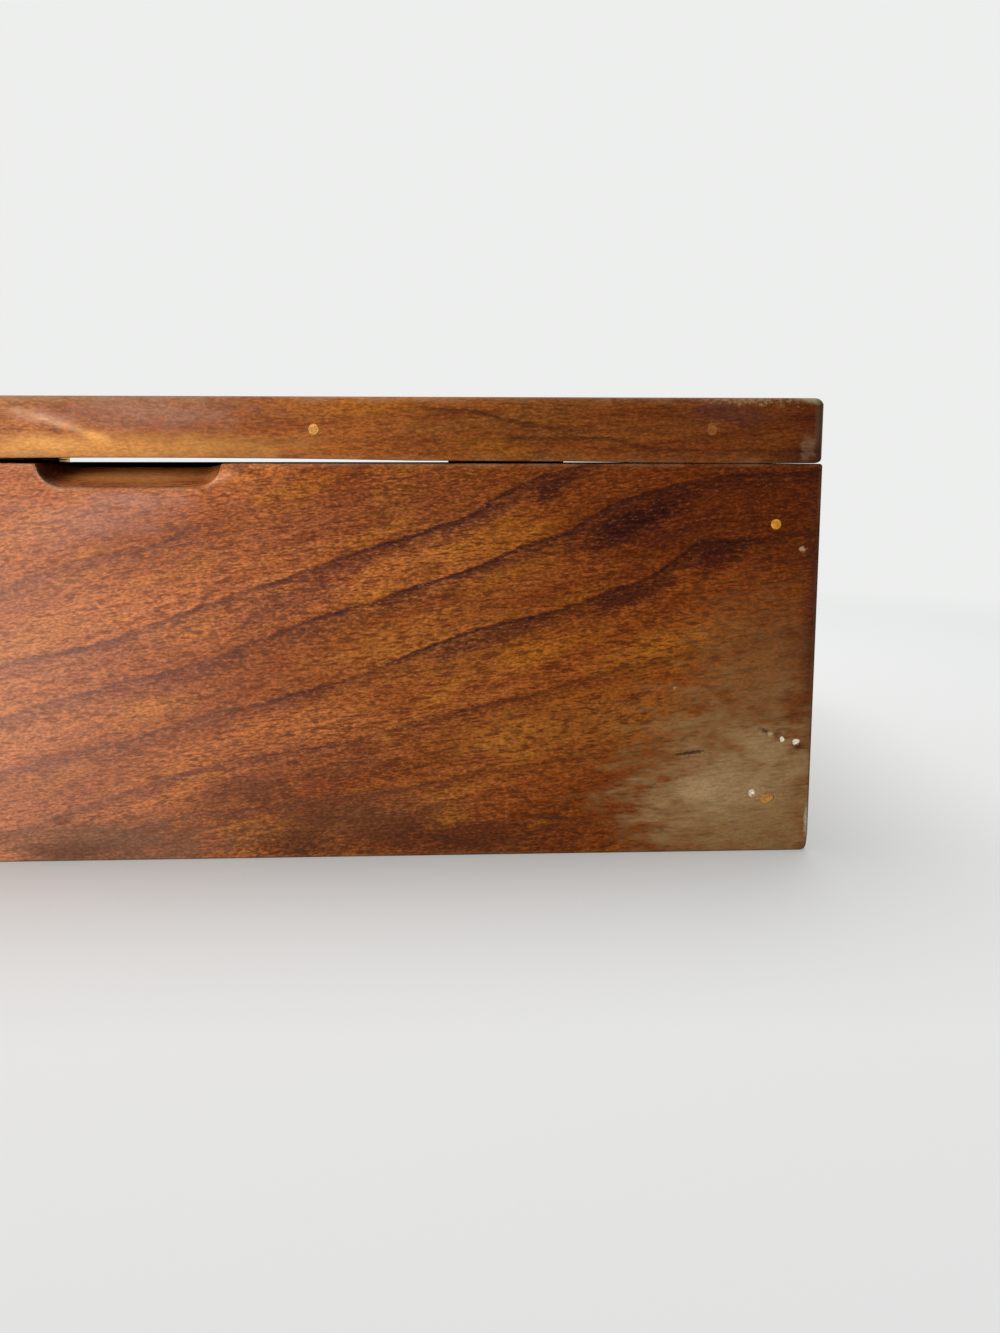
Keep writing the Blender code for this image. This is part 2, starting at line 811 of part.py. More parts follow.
def hinge_screw(name, x, y, below):
    """A countersunk slotted screw, its head flush with its leaf."""
    profile = (
        (0, 0),
        (SCREW_HEAD_RADIUS, 0),
        (SCREW_SHANK_RADIUS, -LEAF_THICKNESS),
        (SCREW_SHANK_RADIUS, SCREW_TIP_LENGTH - SCREW_LENGTH),
        (0, -SCREW_LENGTH),
    )
    parent = BODY if below else LID
    face_z = BODY_LEAF_FACE_Z if below else LID_LEAF_FACE_Z
    turn = (0, 0, 0) if below else (math.pi, 0, 0)
    screw = turned(name, profile, (x, y, face_z), turn, BOX, parent)
    reach = SCREW_HEAD_RADIUS + CUT_OVERRUN
    slot_low = face_z - SCREW_SLOT_DEPTH if below else face_z - CUT_OVERRUN
    slot_high = face_z + CUT_OVERRUN if below else face_z + SCREW_SLOT_DEPTH
    slot = cutting_block(
        f"{name}_slot",
        (x - reach, y - SCREW_SLOT_WIDTH / 2, slot_low),
        (x + reach, y + SCREW_SLOT_WIDTH / 2, slot_high),
        parent,
    )
    combine(screw, "slotted", "DIFFERENCE", [slot])
    finish(screw, SCREW_BRASS, round_piece=True)


def hinges():
    """Both butt hinges with their pins and screws."""
    for side, hinge_x in hinge_places():
        hinge_leaf(side, hinge_x, True)
        hinge_leaf(side, hinge_x, False)
        hinge_pin(side, hinge_x)
        for number, (x, y) in enumerate(screw_places(hinge_x), 1):
            hinge_screw(f"hinge_{side}_body_screw_{number}", x, y, True)
            hinge_screw(f"hinge_{side}_lid_screw_{number}", x, y, False)


def lid_lean():
    """The angle about the hinge axis that brings the lid's front corners down to the body."""
    behind = AXIS_Y - LID_FRONT_Y
    above = LID_UNDER_Z - AXIS_Z
    target = BODY_HEIGHT + FIT - AXIS_Z
    return math.acos(target / math.hypot(behind, above)) - math.atan2(behind, above)


def body_empty(name, location):
    """An empty that carries the pieces of one body."""
    empty = bpy.data.objects.new(name, None)
    BOX.objects.link(empty)
    empty.location = location
    return empty


clear_scene()
BOX = new_collection("keepsake_box", bpy.context.scene.collection)
CUTTERS = new_collection("cutters", bpy.context.scene.collection)
BODY = body_empty("body_frame", (0, 0, 0))
LID = body_empty("lid_hinge_axis", (0, AXIS_Y, AXIS_Z))

front_board()
back_board()
side_board("left", -1)
side_board("right", 1)
bottom_panel()
corner_pegs()
lid_rail("front", LID_FRONT_Y, RAIL_INNER_FRONT_Y, "y-")
lid_rail("back", RAIL_INNER_BACK_Y, BACK_Y, "y+")
lid_boards()
lid_pegs()
hinges()
LID.rotation_euler.x = lid_lean()
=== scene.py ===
"""The looks of a walnut keepsake box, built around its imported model.

The box is boards pegged at the corners, with a lid on two brass butt hinges. Lengths are in metres, +Z is up and
the front faces -Y. The lid's pieces are shaped square and then leaned about the hinge axis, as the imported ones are.
"""

import json
import logging
import math
from dataclasses import dataclass, field, replace
from enum import Enum
from typing import Optional, Sequence

import bmesh
import bpy
from mathutils import Matrix, Vector, noise

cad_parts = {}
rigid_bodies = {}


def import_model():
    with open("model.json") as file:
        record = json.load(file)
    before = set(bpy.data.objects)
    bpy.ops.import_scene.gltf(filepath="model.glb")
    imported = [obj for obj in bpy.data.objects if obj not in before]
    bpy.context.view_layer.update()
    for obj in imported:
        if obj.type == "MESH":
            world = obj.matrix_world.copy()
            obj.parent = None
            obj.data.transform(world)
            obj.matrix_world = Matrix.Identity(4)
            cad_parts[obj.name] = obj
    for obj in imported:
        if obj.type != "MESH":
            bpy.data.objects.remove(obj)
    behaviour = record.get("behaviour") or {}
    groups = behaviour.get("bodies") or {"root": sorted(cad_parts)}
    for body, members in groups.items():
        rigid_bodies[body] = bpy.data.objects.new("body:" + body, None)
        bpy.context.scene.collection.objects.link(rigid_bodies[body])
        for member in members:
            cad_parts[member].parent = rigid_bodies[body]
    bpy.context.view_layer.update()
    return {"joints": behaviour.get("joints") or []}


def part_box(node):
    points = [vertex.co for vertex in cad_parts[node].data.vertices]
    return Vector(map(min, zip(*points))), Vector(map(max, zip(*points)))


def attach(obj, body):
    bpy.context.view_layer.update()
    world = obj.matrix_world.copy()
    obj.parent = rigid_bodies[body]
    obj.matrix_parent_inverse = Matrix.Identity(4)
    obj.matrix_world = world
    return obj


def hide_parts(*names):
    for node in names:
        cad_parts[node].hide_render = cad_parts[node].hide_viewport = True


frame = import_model()

log = logging.getLogger("keepsake_box")

MM = 0.001
MERGE = 0.000001
SHARP = math.radians(32)
CUT_PAST = 3 * MM
QUARTER_TURN = math.pi / 2
HALF_TURN = math.pi
FULL_TURN = 2 * math.pi
HALF = 0.5
HALVES = (0.5, 0.5, 0.5)
ZERO = (0.0, 0.0, 0.0)
ONE = (1.0, 1.0, 1.0)
Colour = tuple[float, float, float]
Point2 = tuple[float, float]
Triple = tuple[float, float, float]
Socket = bpy.types.NodeSocket


class Way(Enum):
    """The axis that a board's length and its fibres follow."""

    X = 0
    Y = 1


class Body(Enum):
    """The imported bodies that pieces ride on."""

    BOX = "box_body"
    LID = "lid"


class Slot(Enum):
    """The record's material slots."""

    BODY = "body_wood"
    LID = "lid_wood"
    PEG = "peg_wood"
    PANEL = "panel_wood"
    HINGE = "hinge_brass"
    SCREW = "screw_brass"


@dataclass(frozen=True)
class Sizes:
    """Stock sizes of the box's boards, pegs and hinges."""

    board: float = 19 * MM
    lid_thickness: float = 19 * MM
    rail_width: float = 25 * MM
    front_set_back: float = 0.2 * MM
    corner_gap: float = 0.3 * MM
    peg_radius: float = 1.6 * MM
    corner_peg_length: float = 40 * MM
    corner_peg_inset: float = 13.5 * MM
    corner_peg_below_top: float = 18 * MM
    corner_peg_above_base: float = 17 * MM
    lid_peg_length: float = 46 * MM
    lid_peg_shares: tuple[float, ...] = (-0.835, -0.262, 0.262, 0.835)
    panel_low: float = 6.3 * MM
    panel_thickness: float = 6 * MM
    groove_depth: float = 6 * MM
    joint: float = 0.04 * MM
    glued: float = 0.12 * MM
    body_round: float = 0.8 * MM
    lid_top_round: float = 1.8 * MM
    lid_under_round: float = 0.6 * MM
    lid_end_round: float = 2.8 * MM
    lid_end_under_round: float = 2.1 * MM
    hinge_share: float = 0.61
    leaf_length: float = 58 * MM
    leaf_width: float = 14 * MM
    leaf_thickness: float = 1.2 * MM
    leaf_proud: float = 0.9 * MM
    leaf_gap: float = 0.5 * MM
    barrel_radius: float = 2.4 * MM
    pin_radius: float = 1.2 * MM
    screw_length: float = 12 * MM
    screw_head: float = 2.2 * MM
    screw_shank: float = 1.1 * MM
    screw_shares: tuple[float, ...] = (-0.36, 0.0, 0.36)
    screw_across_share: float = 0.55


SIZES = Sizes()


@dataclass(frozen=True)
class Layout:
    """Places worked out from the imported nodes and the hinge's joint."""

    half_width: float
    lid_half_width: float
    front: float
    back: float
    top: float
    axis: Vector

    @classmethod
    def read(cls) -> "Layout":
        """The layout of the loaded frame."""
        low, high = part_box("front_board")
        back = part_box("back_board")[1].y
        lid_half_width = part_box("lid_front_rail")[1].x
        axis = Vector(frame["joints"][0]["pos_m"])
        return cls(high.x, lid_half_width, low.y, back, high.z, axis)

    @property
    def inner_front(self) -> float:
        """The inner face of the front board."""
        return self.front + SIZES.board

    @property
    def inner_back(self) -> float:
        """The inner face of the back board."""
        return self.back - SIZES.board

    @property
    def inside(self) -> float:
        """Half of the width inside the side boards."""
        return self.half_width - SIZES.board

    @property
    def lid_front(self) -> float:
        """The lid's front edge before it leans."""
        return self.front + SIZES.front_set_back

    @property
    def lid_under(self) -> float:
        """The lid's underside at its ends before it leans."""
        return self.axis.z + SIZES.leaf_gap / 2 + SIZES.leaf_proud

    @property
    def lid_top(self) -> float:
        """The lid's top before it leans."""
        return self.lid_under + SIZES.lid_thickness

    def lean(self) -> Matrix:
        """The turn about the hinge axis that brings the lid's front corners down to the body."""
        behind = self.axis.y - self.lid_front
        above = self.lid_under - self.axis.z
        target = self.top + SIZES.corner_gap - self.axis.z
        angle = math.acos(target / math.hypot(behind, above)) - math.atan2(behind, above)
        there = Matrix.Translation(self.axis)
        return there @ Matrix.Rotation(angle, 4, "X") @ there.inverted()

    def hinge_xs(self) -> tuple[tuple[str, float], ...]:
        """The side's name and the middle of each hinge."""
        x = SIZES.hinge_share * self.half_width
        return ("left", -x), ("right", x)

    def screw_places(self, hinge_x: float) -> list[Point2]:
        """The places (x, y) of one leaf's screws."""
        y = self.back - SIZES.screw_across_share * SIZES.leaf_width
        return [(hinge_x + share * SIZES.leaf_length, y) for share in SIZES.screw_shares]

    def corner_pegs(self) -> list[Point2]:
        """The places (x, z) of the pegs in the front or back board."""
        x = self.half_width - SIZES.corner_peg_inset
        levels = (self.top - SIZES.corner_peg_below_top, SIZES.corner_peg_above_base)
        return [(side * x, z) for side in (-1, 1) for z in levels]

    def lid_pegs(self) -> list[Point2]:
        """The places (x, z) of the pegs in a lid rail, before it leans."""
        z = self.lid_under + SIZES.lid_thickness / 2
        return [(share * self.lid_half_width, z) for share in SIZES.lid_peg_shares]


LAYOUT = Layout.read()


# Node trees


@dataclass(frozen=True)
class Weave:
    """A noise: its scale per metre along each axis, its detail and roughness, and where in the noise it starts."""

    scale: Triple
    detail: float = 2.0
    rough: float = 0.5
    offset: float = 0.0


@dataclass(frozen=True)
class Step:
    """A change from start to end as a number goes from low to high."""

    low: float
    high: float
    start: float = 0.0
    end: float = 1.0

    def over(self, length: float) -> "Step":
        """The step with its low and high counted in lengths."""
        return Step(self.low * length, self.high * length, self.start, self.end)

    def times(self, factor: float, base: float = 0.0) -> "Step":
        """The step with its start and end multiplied, above a base."""
        return Step(self.low, self.high, base + self.start * factor, base + self.end * factor)


class Nodes:
    """A node tree, with short calls for its nodes."""

    def __init__(self, tree: bpy.types.NodeTree) -> None:
        """Takes up a tree and empties it."""
        self.tree = tree
        self.tree.nodes.clear()

    def node(self, kind: str, **settings: object) -> bpy.types.Node:
        """A new node of a kind, with its settings."""
        made = self.tree.nodes.new(kind)
        for key, value in settings.items():
            setattr(made, key, value)
        return made

    def feed(self, socket: Socket, value: object) -> None:
        """Links a socket to another one, or sets its value."""
        if isinstance(value, bpy.types.NodeSocket):
            self.tree.links.new(value, socket)
        elif socket.type == "RGBA":
            socket.default_value = (*value, 1.0)
        else:
            socket.default_value = value

    def fed(self, kind: str, *values: object, **settings: object) -> bpy.types.Node:
        """A new node of a kind, with its settings and the values of its first inputs."""
        made = self.node(kind, **settings)
        for socket, value in zip(made.inputs, values):
            self.feed(socket, value)
        return made

    def wired(self, kind: str, settings: Optional[dict[str, object]] = None, **inputs: object) -> Socket:
        """The first output of a new node. Underscores stand for the spaces in its inputs' names."""
        made = self.node(kind, **(settings or {}))
        for key, value in inputs.items():
            self.feed(made.inputs[key.replace("_", " ")], value)
        return made.outputs[0]

    def math(self, operation: str, first: object, second: object = 0.0, third: object = 0.0) -> Socket:
        """The result of a Math node."""
        return self.fed("ShaderNodeMath", first, second, third, operation=operation).outputs[0]

    def triple(self, x: object = 0.0, y: object = 0.0, z: object = 0.0) -> Socket:
        """A vector of three numbers."""
        return self.fed("ShaderNodeCombineXYZ", x, y, z).outputs[0]


class Bench(Nodes):
    """A material's node tree, with short calls for the nodes that the finishes are made of."""

    def __init__(self, name: str) -> None:
        """Starts an empty material of that name."""
        self.material = bpy.data.materials.new(name)
        self.material.use_nodes = True
        super().__init__(self.material.node_tree)
        self.coordinates = self.node("ShaderNodeTexCoord")

    @property
    def place(self) -> Socket:
        """The place on the piece, which is its place in the box."""
        return self.coordinates.outputs["Object"]

    @property
    def normal(self) -> Socket:
        """The surface's own direction in the box."""
        return self.coordinates.outputs["Normal"]

    def times(self, *factors: object) -> Socket:
        """The product of numbers."""
        result = factors[0]
        for factor in factors[1:]:
            result = self.math("MULTIPLY", result, factor)
        return result

    def vector(self, operation: str, first: object, second: object = ZERO) -> Socket:
        """The vector that a Vector Math node makes."""
        return self.fed("ShaderNodeVectorMath", first, second, operation=operation).outputs["Vector"]

    def number(self, operation: str, first: object, second: object = ZERO) -> Socket:
        """The number that a Vector Math node makes."""
        return self.fed("ShaderNodeVectorMath", first, second, operation=operation).outputs["Value"]

    def parts(self, vector: Socket) -> tuple[Socket, Socket, Socket]:
        """The three parts of a vector."""
        made = self.fed("ShaderNodeSeparateXYZ", vector)
        return made.outputs[0], made.outputs[1], made.outputs[2]

    def ramp(self, value: Socket, step: Step, soft: bool = True) -> Socket:
        """A step over a value, with soft ends or straight."""
        kind = "SMOOTHSTEP" if soft else "LINEAR"
        made = self.fed("ShaderNodeMapRange", value, step.low, step.high, step.start, step.end, interpolation_type=kind)
        return made.outputs["Result"]

    def placed(
        self, vector: Socket, location: Triple = ZERO, rotation: Triple = ZERO, scale: Triple = ONE, kind: str = "POINT"
    ) -> Socket:
        """A vector that a Mapping node moves, turns and scales."""
        return self.fed("ShaderNodeMapping", vector, location, rotation, scale, vector_type=kind).outputs[0]

    def noise(self, vector: Socket, weave: Weave, colour: bool = False) -> Socket:
        """A weave's noise, as a number or as a colour."""
        made = self.node("ShaderNodeTexNoise", noise_dimensions="3D")
        spread = self.placed(vector, (weave.offset, weave.offset, weave.offset), scale=weave.scale)
        for name, value in (("Vector", spread), ("Scale", 1.0), ("Detail", weave.detail), ("Roughness", weave.rough)):
            self.feed(made.inputs[name], value)
        return made.outputs["Color" if colour else "Fac"]

    def mix(self, share: object, first: object, second: object, blend: str = "MIX") -> Socket:
        """A mix of two colours."""
        made = self.node("ShaderNodeMix", data_type="RGBA", blend_type=blend)
        self.feed(made.inputs["Factor"], share)
        self.feed(made.inputs[6], first)
        self.feed(made.inputs[7], second)
        return made.outputs[2]

    def curve(self, value: Socket, points: Sequence[Point2]) -> Socket:
        """A Float Curve through (place, value) points, both from 0 to 1."""
        made = self.node("ShaderNodeFloatCurve")
        line = made.mapping.curves[0]
        line.points[0].location = points[0]
        line.points[-1].location = points[-1]
        for point in points[1:-1]:
            line.points.new(*point)
        made.mapping.update()
        self.feed(made.inputs["Value"], value)
        return made.outputs[0]

    def attribute(self, name: str, colour: bool = False) -> Socket:
        """One of the mesh's attributes, as a number or as a colour."""
        made = self.node("ShaderNodeAttribute", attribute_type="GEOMETRY", attribute_name=name)
        return made.outputs["Color" if colour else "Fac"]

    def bump(self, height: Socket, strength: float, depth: float) -> Socket:
        """The normal that a height gives."""
        return self.wired("ShaderNodeBump", Strength=strength, Distance=depth, Height=height)

    def surface(self, **inputs: object) -> bpy.types.Material:
        """Ends the tree in a Principled shader. Underscores stand for the spaces in its sockets' names."""
        self.fed("ShaderNodeOutputMaterial", self.wired("ShaderNodeBsdfPrincipled", **inputs))
        return self.material


# The walnut


@dataclass(frozen=True)
class GrowthLine:
    """One dark growth line across a board's face, as millimetres along the board and up.

    Its upper edge is sharp and it fades downwards. depths says how dark it is at places along the board.
    """

    course: tuple[Point2, ...]
    depths: tuple[Point2, ...]
    core: float = 1.4
    fade: float = 8.0


@dataclass(frozen=True)
class Patch:
    """A soft patch of another colour on a face: its centre and half sizes in millimetres, its turn in degrees."""

    centre: Point2
    reach: Point2
    colour: Colour
    share: float
    turn: float = 0.0
    soft: float = 0.9
    ragged: float = 0.5
    deep: float = 8.0


@dataclass(frozen=True)
class Figure:
    """What a board is chosen for: growth lines and patches on its show face, between two heights."""

    low: float
    high: float
    lines: tuple[GrowthLine, ...] = ()
    stains: tuple[Patch, ...] = ()
    patches: tuple[Patch, ...] = ()
    slope: float = 17.0
    rise_in_depth: float = 0.45
    jag: float = 2.0
    wave: float = 4.0


@dataclass(frozen=True)
class Rings:
    """Growth rings of a plain board, as cones about a heart beside it, in millimetres."""

    heart: Point2 = (10.0, -95.0)
    spacing: float = 9.0
    taper: float = 0.12
    depth: float = 0.55


@dataclass(frozen=True)
class Grain:
    """The walnut's noises, and the steps made from them. Lengths are in millimetres."""

    wander: Weave = Weave((7, 24, 24), detail=1.0)
    sway: Triple = (0, 7 * MM, 7 * MM)
    fibre_slope_part: float = 3.0
    broad: Weave = Weave((11, 40, 40), offset=1)
    broad_step: Step = Step(0.36, 0.66)
    streak: Weave = Weave((26, 260, 260), detail=3.0, offset=7)
    streak_step: Step = Step(0.42, 0.68, 0.0, 0.6)
    gold: Weave = Weave((24, 90, 90), offset=11)
    gold_step: Step = Step(0.52, 0.72, 0.0, 0.6)
    fibre: Weave = Weave((190, 1150, 1150), detail=3.0, rough=0.62)
    level_step: Step = Step(0.34, 0.66, -0.42, 0.42)
    flecks: Weave = Weave((240, 1150, 1150), detail=1.5, offset=3)
    pore_step: Step = Step(0.54, 0.64, 0.0, 0.66)
    pore_over_patch: float = 0.3
    grit: Weave = Weave((760, 1900, 1900), rough=0.6, offset=6)
    glint_step: Step = Step(0.60, 0.74, 0.0, 0.35)
    patch_level_step: Step = Step(0.36, 0.64, 0.86, 1.14)
    end_step: Step = Step(0.55, 0.85, 0.0, 0.45)
    rub: Weave = Weave((90, 90, 90), detail=3.0)
    rub_step: Step = Step(0.38, 0.62, 0.15, 0.8)
    rub_colour: float = 0.35
    rub_rough: float = 0.15
    fine_rough: float = 0.16
    bump_strength: float = 0.22
    bump_depth: float = 0.25
    ring_ragged: float = 2.4
    ring_waves: Weave = Weave((6, 16, 16), detail=1.0, offset=2)
    ring_wave: float = 14.0
    ring_rise_step: Step = Step(0.30, 0.94)
    ring_fall_step: Step = Step(0.94, 0.995, 1.0, 0.0)
    ring_uneven: Weave = Weave((9, 60, 60), detail=1.0, offset=5)
    ring_low: Step = Step(0.30, 0.70, 0.16)
    line_jag: Weave = Weave((230, 700, 800), rough=0.6)
    line_wave: Weave = Weave((24, 60, 90), detail=1.0, offset=12)
    line_grain: Weave = Weave((300, 1400, 1400), rough=0.65, offset=9)
    line_speckle_step: Step = Step(0.36, 0.58, 1.25, 0.3)
    line_breaks: Weave = Weave((26, 160, 160), detail=1.0, offset=14)
    line_breaks_step: Step = Step(0.35, 0.6, 1.1, 0.7)
    line_edge_step: Step = Step(-0.5, 0.4)
    line_core_step: Step = Step(0.5, 1.7, 1.0, 0.0)
    line_fade_step: Step = Step(0.0, 1.0, 0.75, 0.0)
    line_strength: float = 1.3
    patch_ragged: Weave = Weave((110, 300, 260), detail=3.0, rough=0.65, offset=4)
    patch_crumbs: Weave = Weave((800, 800, 800), offset=15)
    patch_small: float = 2.0


GRAIN = Grain()


@dataclass(frozen=True)
class Walnut:
    """Oiled walnut, solid all through, so that its faces, ends and edges belong together."""

    name: str
    way: Way = Way.X
    rings: Rings = Rings()
    figure: Optional[Figure] = None
    pale: Colour = (0.300, 0.080, 0.019)
    brown: Colour = (0.190, 0.044, 0.009)
    red: Colour = (0.165, 0.032, 0.008)
    dusk: Colour = (0.055, 0.014, 0.010)
    fleck: Colour = (0.080, 0.016, 0.006)
    amber: Colour = (0.320, 0.098, 0.011)
    glint: Colour = (0.420, 0.150, 0.055)
    worn: Colour = (0.270, 0.175, 0.095)
    # Colour gains along the board: partly painted shade and sheen on the front and the lid rail, one even tone on plain
    # boards.
    shade: tuple[tuple[float, Colour], ...] = ()
    contrast: float = 1.0
    offset: float = 0.0
    rough: float = 0.42
    specular: float = 0.05

    def make(self) -> bpy.types.Material:
        """Builds the material.

        Returns:
            The material, whose pattern follows Object coordinates.
        """
        bench = Bench(self.name)
        turn = (0, 0, -QUARTER_TURN) if self.way is Way.Y else ZERO
        grain = bench.placed(bench.place, (self.offset, self.offset, 0), turn)
        sway = bench.vector("SUBTRACT", bench.noise(grain, GRAIN.wander, colour=True), HALVES)
        swayed = bench.vector("ADD", grain, bench.vector("MULTIPLY", sway, GRAIN.sway))
        slope = math.radians(self.figure.slope) if self.figure else 0.0
        drawn = bench.placed(swayed, rotation=(0, slope, 0))
        tilted = bench.placed(swayed, rotation=(0, slope / GRAIN.fibre_slope_part, 0))
        grit = bench.noise(tilted, GRAIN.grit)
        fine = bench.math("MULTIPLY_ADD", grit, HALF, bench.times(bench.noise(tilted, GRAIN.fibre), HALF))

        tone = self.brown
        for weave, step, colour in (
            (GRAIN.broad, GRAIN.broad_step, self.pale),
            (GRAIN.streak, GRAIN.streak_step, self.red),
            (GRAIN.gold, GRAIN.gold_step, self.amber),
        ):
            tone = bench.mix(bench.ramp(bench.noise(drawn, weave), step), tone, colour)
        if self.figure is None:
            dark = self.ring_darkness(bench, swayed, fine)
        else:
            dark = self.line_darkness(bench)
            tone = self.patched(bench, tone, fine, self.figure.stains)
        tone = bench.mix(dark, tone, self.dusk)
        level = bench.ramp(fine, GRAIN.level_step.times(self.contrast, 1.0))
        tone = bench.mix(1.0, tone, bench.triple(level, level, level), "MULTIPLY")
        pore = bench.ramp(bench.noise(tilted, GRAIN.flecks), GRAIN.pore_step.times(self.contrast))
        tone = bench.mix(pore, tone, self.fleck)
        tone = bench.mix(bench.ramp(grit, GRAIN.glint_step.times(self.contrast)), tone, self.glint)
        # Multiplies in the gain along the board, which is partly painted shade and sheen on the show faces.
        if self.shade:
            tone = bench.mix(1.0, tone, self.shading(bench), "MULTIPLY")
        if self.figure is not None:
            tone = self.patched(bench, tone, fine, self.figure.patches)
            level = bench.ramp(grit, GRAIN.patch_level_step)
            tone = bench.mix(1.0, tone, bench.triple(level, level, level), "MULTIPLY")
            tone = bench.mix(bench.times(pore, GRAIN.pore_over_patch), tone, self.fleck)

        axis = (1, 0, 0) if self.way is Way.X else (0, 1, 0)
        facing = bench.math("ABSOLUTE", bench.number("DOT_PRODUCT", bench.normal, axis))
        tone = bench.mix(bench.ramp(facing, GRAIN.end_step), tone, self.dusk)
        rubbed = bench.times(bench.attribute("arris"), bench.ramp(bench.noise(bench.place, GRAIN.rub), GRAIN.rub_step))
        tone = bench.mix(bench.times(rubbed, GRAIN.rub_colour), tone, self.worn)

        rough = bench.math("MULTIPLY_ADD", fine, GRAIN.fine_rough, self.rough - GRAIN.fine_rough / 2)
        rough = bench.math("MULTIPLY_ADD", rubbed, GRAIN.rub_rough, rough)
        height = bench.math("SUBTRACT", bench.times(fine, HALF), pore)
        return bench.surface(
            Base_Color=tone,
            Roughness=rough,
            Specular_IOR_Level=self.specular,
            Normal=bench.bump(height, GRAIN.bump_strength, GRAIN.bump_depth * MM),
        )

    def shading(self, bench: Bench) -> Socket:
        """A colour gain from place to place along the board. On the front and the lid rail it is partly painted shade,
        darker towards the right, and partly painted sheen, bluer on the left; on plain boards it is one even tone.
        """
        along = bench.parts(bench.place)[0]
        tone: object = self.shade[0][1]
        for (start, _), (end, colour) in zip(self.shade, self.shade[1:]):
            tone = bench.mix(bench.ramp(along, Step(start, end).over(MM), soft=False), tone, colour)
        return tone

    def ring_darkness(self, bench: Bench, place: Socket, fine: Socket) -> Socket:
        """How dark plain growth rings are at a place.

        Args:
            bench: The material's bench.
            place: The place, with its first part along the fibres.
            fine: Noise of the fibres' size.

        Returns:
            A number from 0 to 1.
        """
        along, across, up = bench.parts(place)
        side = bench.math("SUBTRACT", across, self.rings.heart[0] * MM)
        height = bench.math("SUBTRACT", up, self.rings.heart[1] * MM)
        square = bench.math("ADD", bench.math("MULTIPLY", side, side), bench.math("MULTIPLY", height, height))
        radius = bench.math("MULTIPLY_ADD", along, self.rings.taper, bench.math("SQRT", square))
        radius = bench.math("MULTIPLY_ADD", fine, GRAIN.ring_ragged * MM, radius)
        radius = bench.math("MULTIPLY_ADD", bench.noise(place, GRAIN.ring_waves), GRAIN.ring_wave * MM, radius)
        share = bench.math("FRACT", bench.math("DIVIDE", radius, self.rings.spacing * MM))
        late = bench.times(bench.ramp(share, GRAIN.ring_rise_step), bench.ramp(share, GRAIN.ring_fall_step))
        uneven = replace(GRAIN.ring_low, end=self.rings.depth)
        return bench.times(late, bench.ramp(bench.noise(place, GRAIN.ring_uneven), uneven))

    def line_darkness(self, bench: Bench) -> Socket:
        """How dark the show face's own growth lines are, from 0 to 1."""
        figure = self.figure
        along, depth, up = bench.parts(bench.place)
        half = LAYOUT.lid_half_width
        share = bench.ramp(along, Step(-half, half), soft=False)
        inward = bench.math("SUBTRACT", depth, LAYOUT.front)
        height = bench.math("MULTIPLY_ADD", inward, figure.rise_in_depth, up)
        for weave, reach in ((GRAIN.line_jag, figure.jag), (GRAIN.line_wave, figure.wave)):
            swing = bench.math("SUBTRACT", bench.noise(bench.place, weave), HALF)
            height = bench.math("MULTIPLY_ADD", swing, reach * MM, height)
        speckle = bench.ramp(bench.noise(bench.place, GRAIN.line_grain), GRAIN.line_speckle_step)
        broken = bench.ramp(bench.noise(bench.place, GRAIN.line_breaks), GRAIN.line_breaks_step)
        total: object = 0.0
        for line in figure.lines:
            course = bench.curve(share, [self.as_share(point, True) for point in line.course])
            level = bench.math("MULTIPLY_ADD", course, (figure.high - figure.low) * MM, figure.low * MM)
            below = bench.math("SUBTRACT", level, height)
            edge = bench.ramp(below, GRAIN.line_edge_step.over(MM))
            core = bench.times(bench.ramp(below, GRAIN.line_core_step.over(line.core * MM)), broken)
            fade = bench.times(bench.ramp(below, GRAIN.line_fade_step.over(line.fade * MM)), speckle)
            strength = bench.curve(share, [self.as_share(point, False) for point in line.depths])
            dark = bench.times(edge, bench.math("MAXIMUM", core, fade), strength, GRAIN.line_strength)
            total = bench.math("MAXIMUM", dark, total)
        return bench.math("MINIMUM", total, 1.0)

    def as_share(self, point: Point2, is_height: bool) -> Point2:
        """A point along the board as a share of its width, and of the figure's height if it is one."""
        half = LAYOUT.lid_half_width / MM
        along = (point[0] + half) / (2 * half)
        if not is_height:
            return along, point[1]
        return along, (point[1] - self.figure.low) / (self.figure.high - self.figure.low)

    def patched(self, bench: Bench, tone: Socket, fine: Socket, patches: Sequence[Patch]) -> Socket:
        """A tone with patches laid on it.

        Args:
            bench: The material's bench.
            tone: The colour so far.
            fine: Noise of the fibres' size.
            patches: The patches, the lowest first.

        Returns:
            The new colour.
        """
        ragged = bench.math("ADD", bench.noise(bench.place, GRAIN.patch_ragged), fine)
        ragged = bench.math("SUBTRACT", ragged, 1.0)
        crumbly = bench.math("SUBTRACT", bench.noise(bench.place, GRAIN.patch_crumbs), HALF)
        for patch in patches:
            centre = (patch.centre[0] * MM, LAYOUT.front, patch.centre[1] * MM)
            reach = (patch.reach[0] * MM, patch.deep * MM, patch.reach[1] * MM)
            local = bench.placed(bench.place, centre, (0, math.radians(-patch.turn), 0), reach, "TEXTURE")
            edge = crumbly if min(patch.reach) < GRAIN.patch_small else ragged
            away = bench.math("MULTIPLY_ADD", edge, patch.ragged, bench.number("LENGTH", local))
            mask = bench.ramp(away, Step(1.0 - patch.soft, 1.0, patch.share, 0.0))
            tone = bench.mix(mask, tone, patch.colour)
        return tone


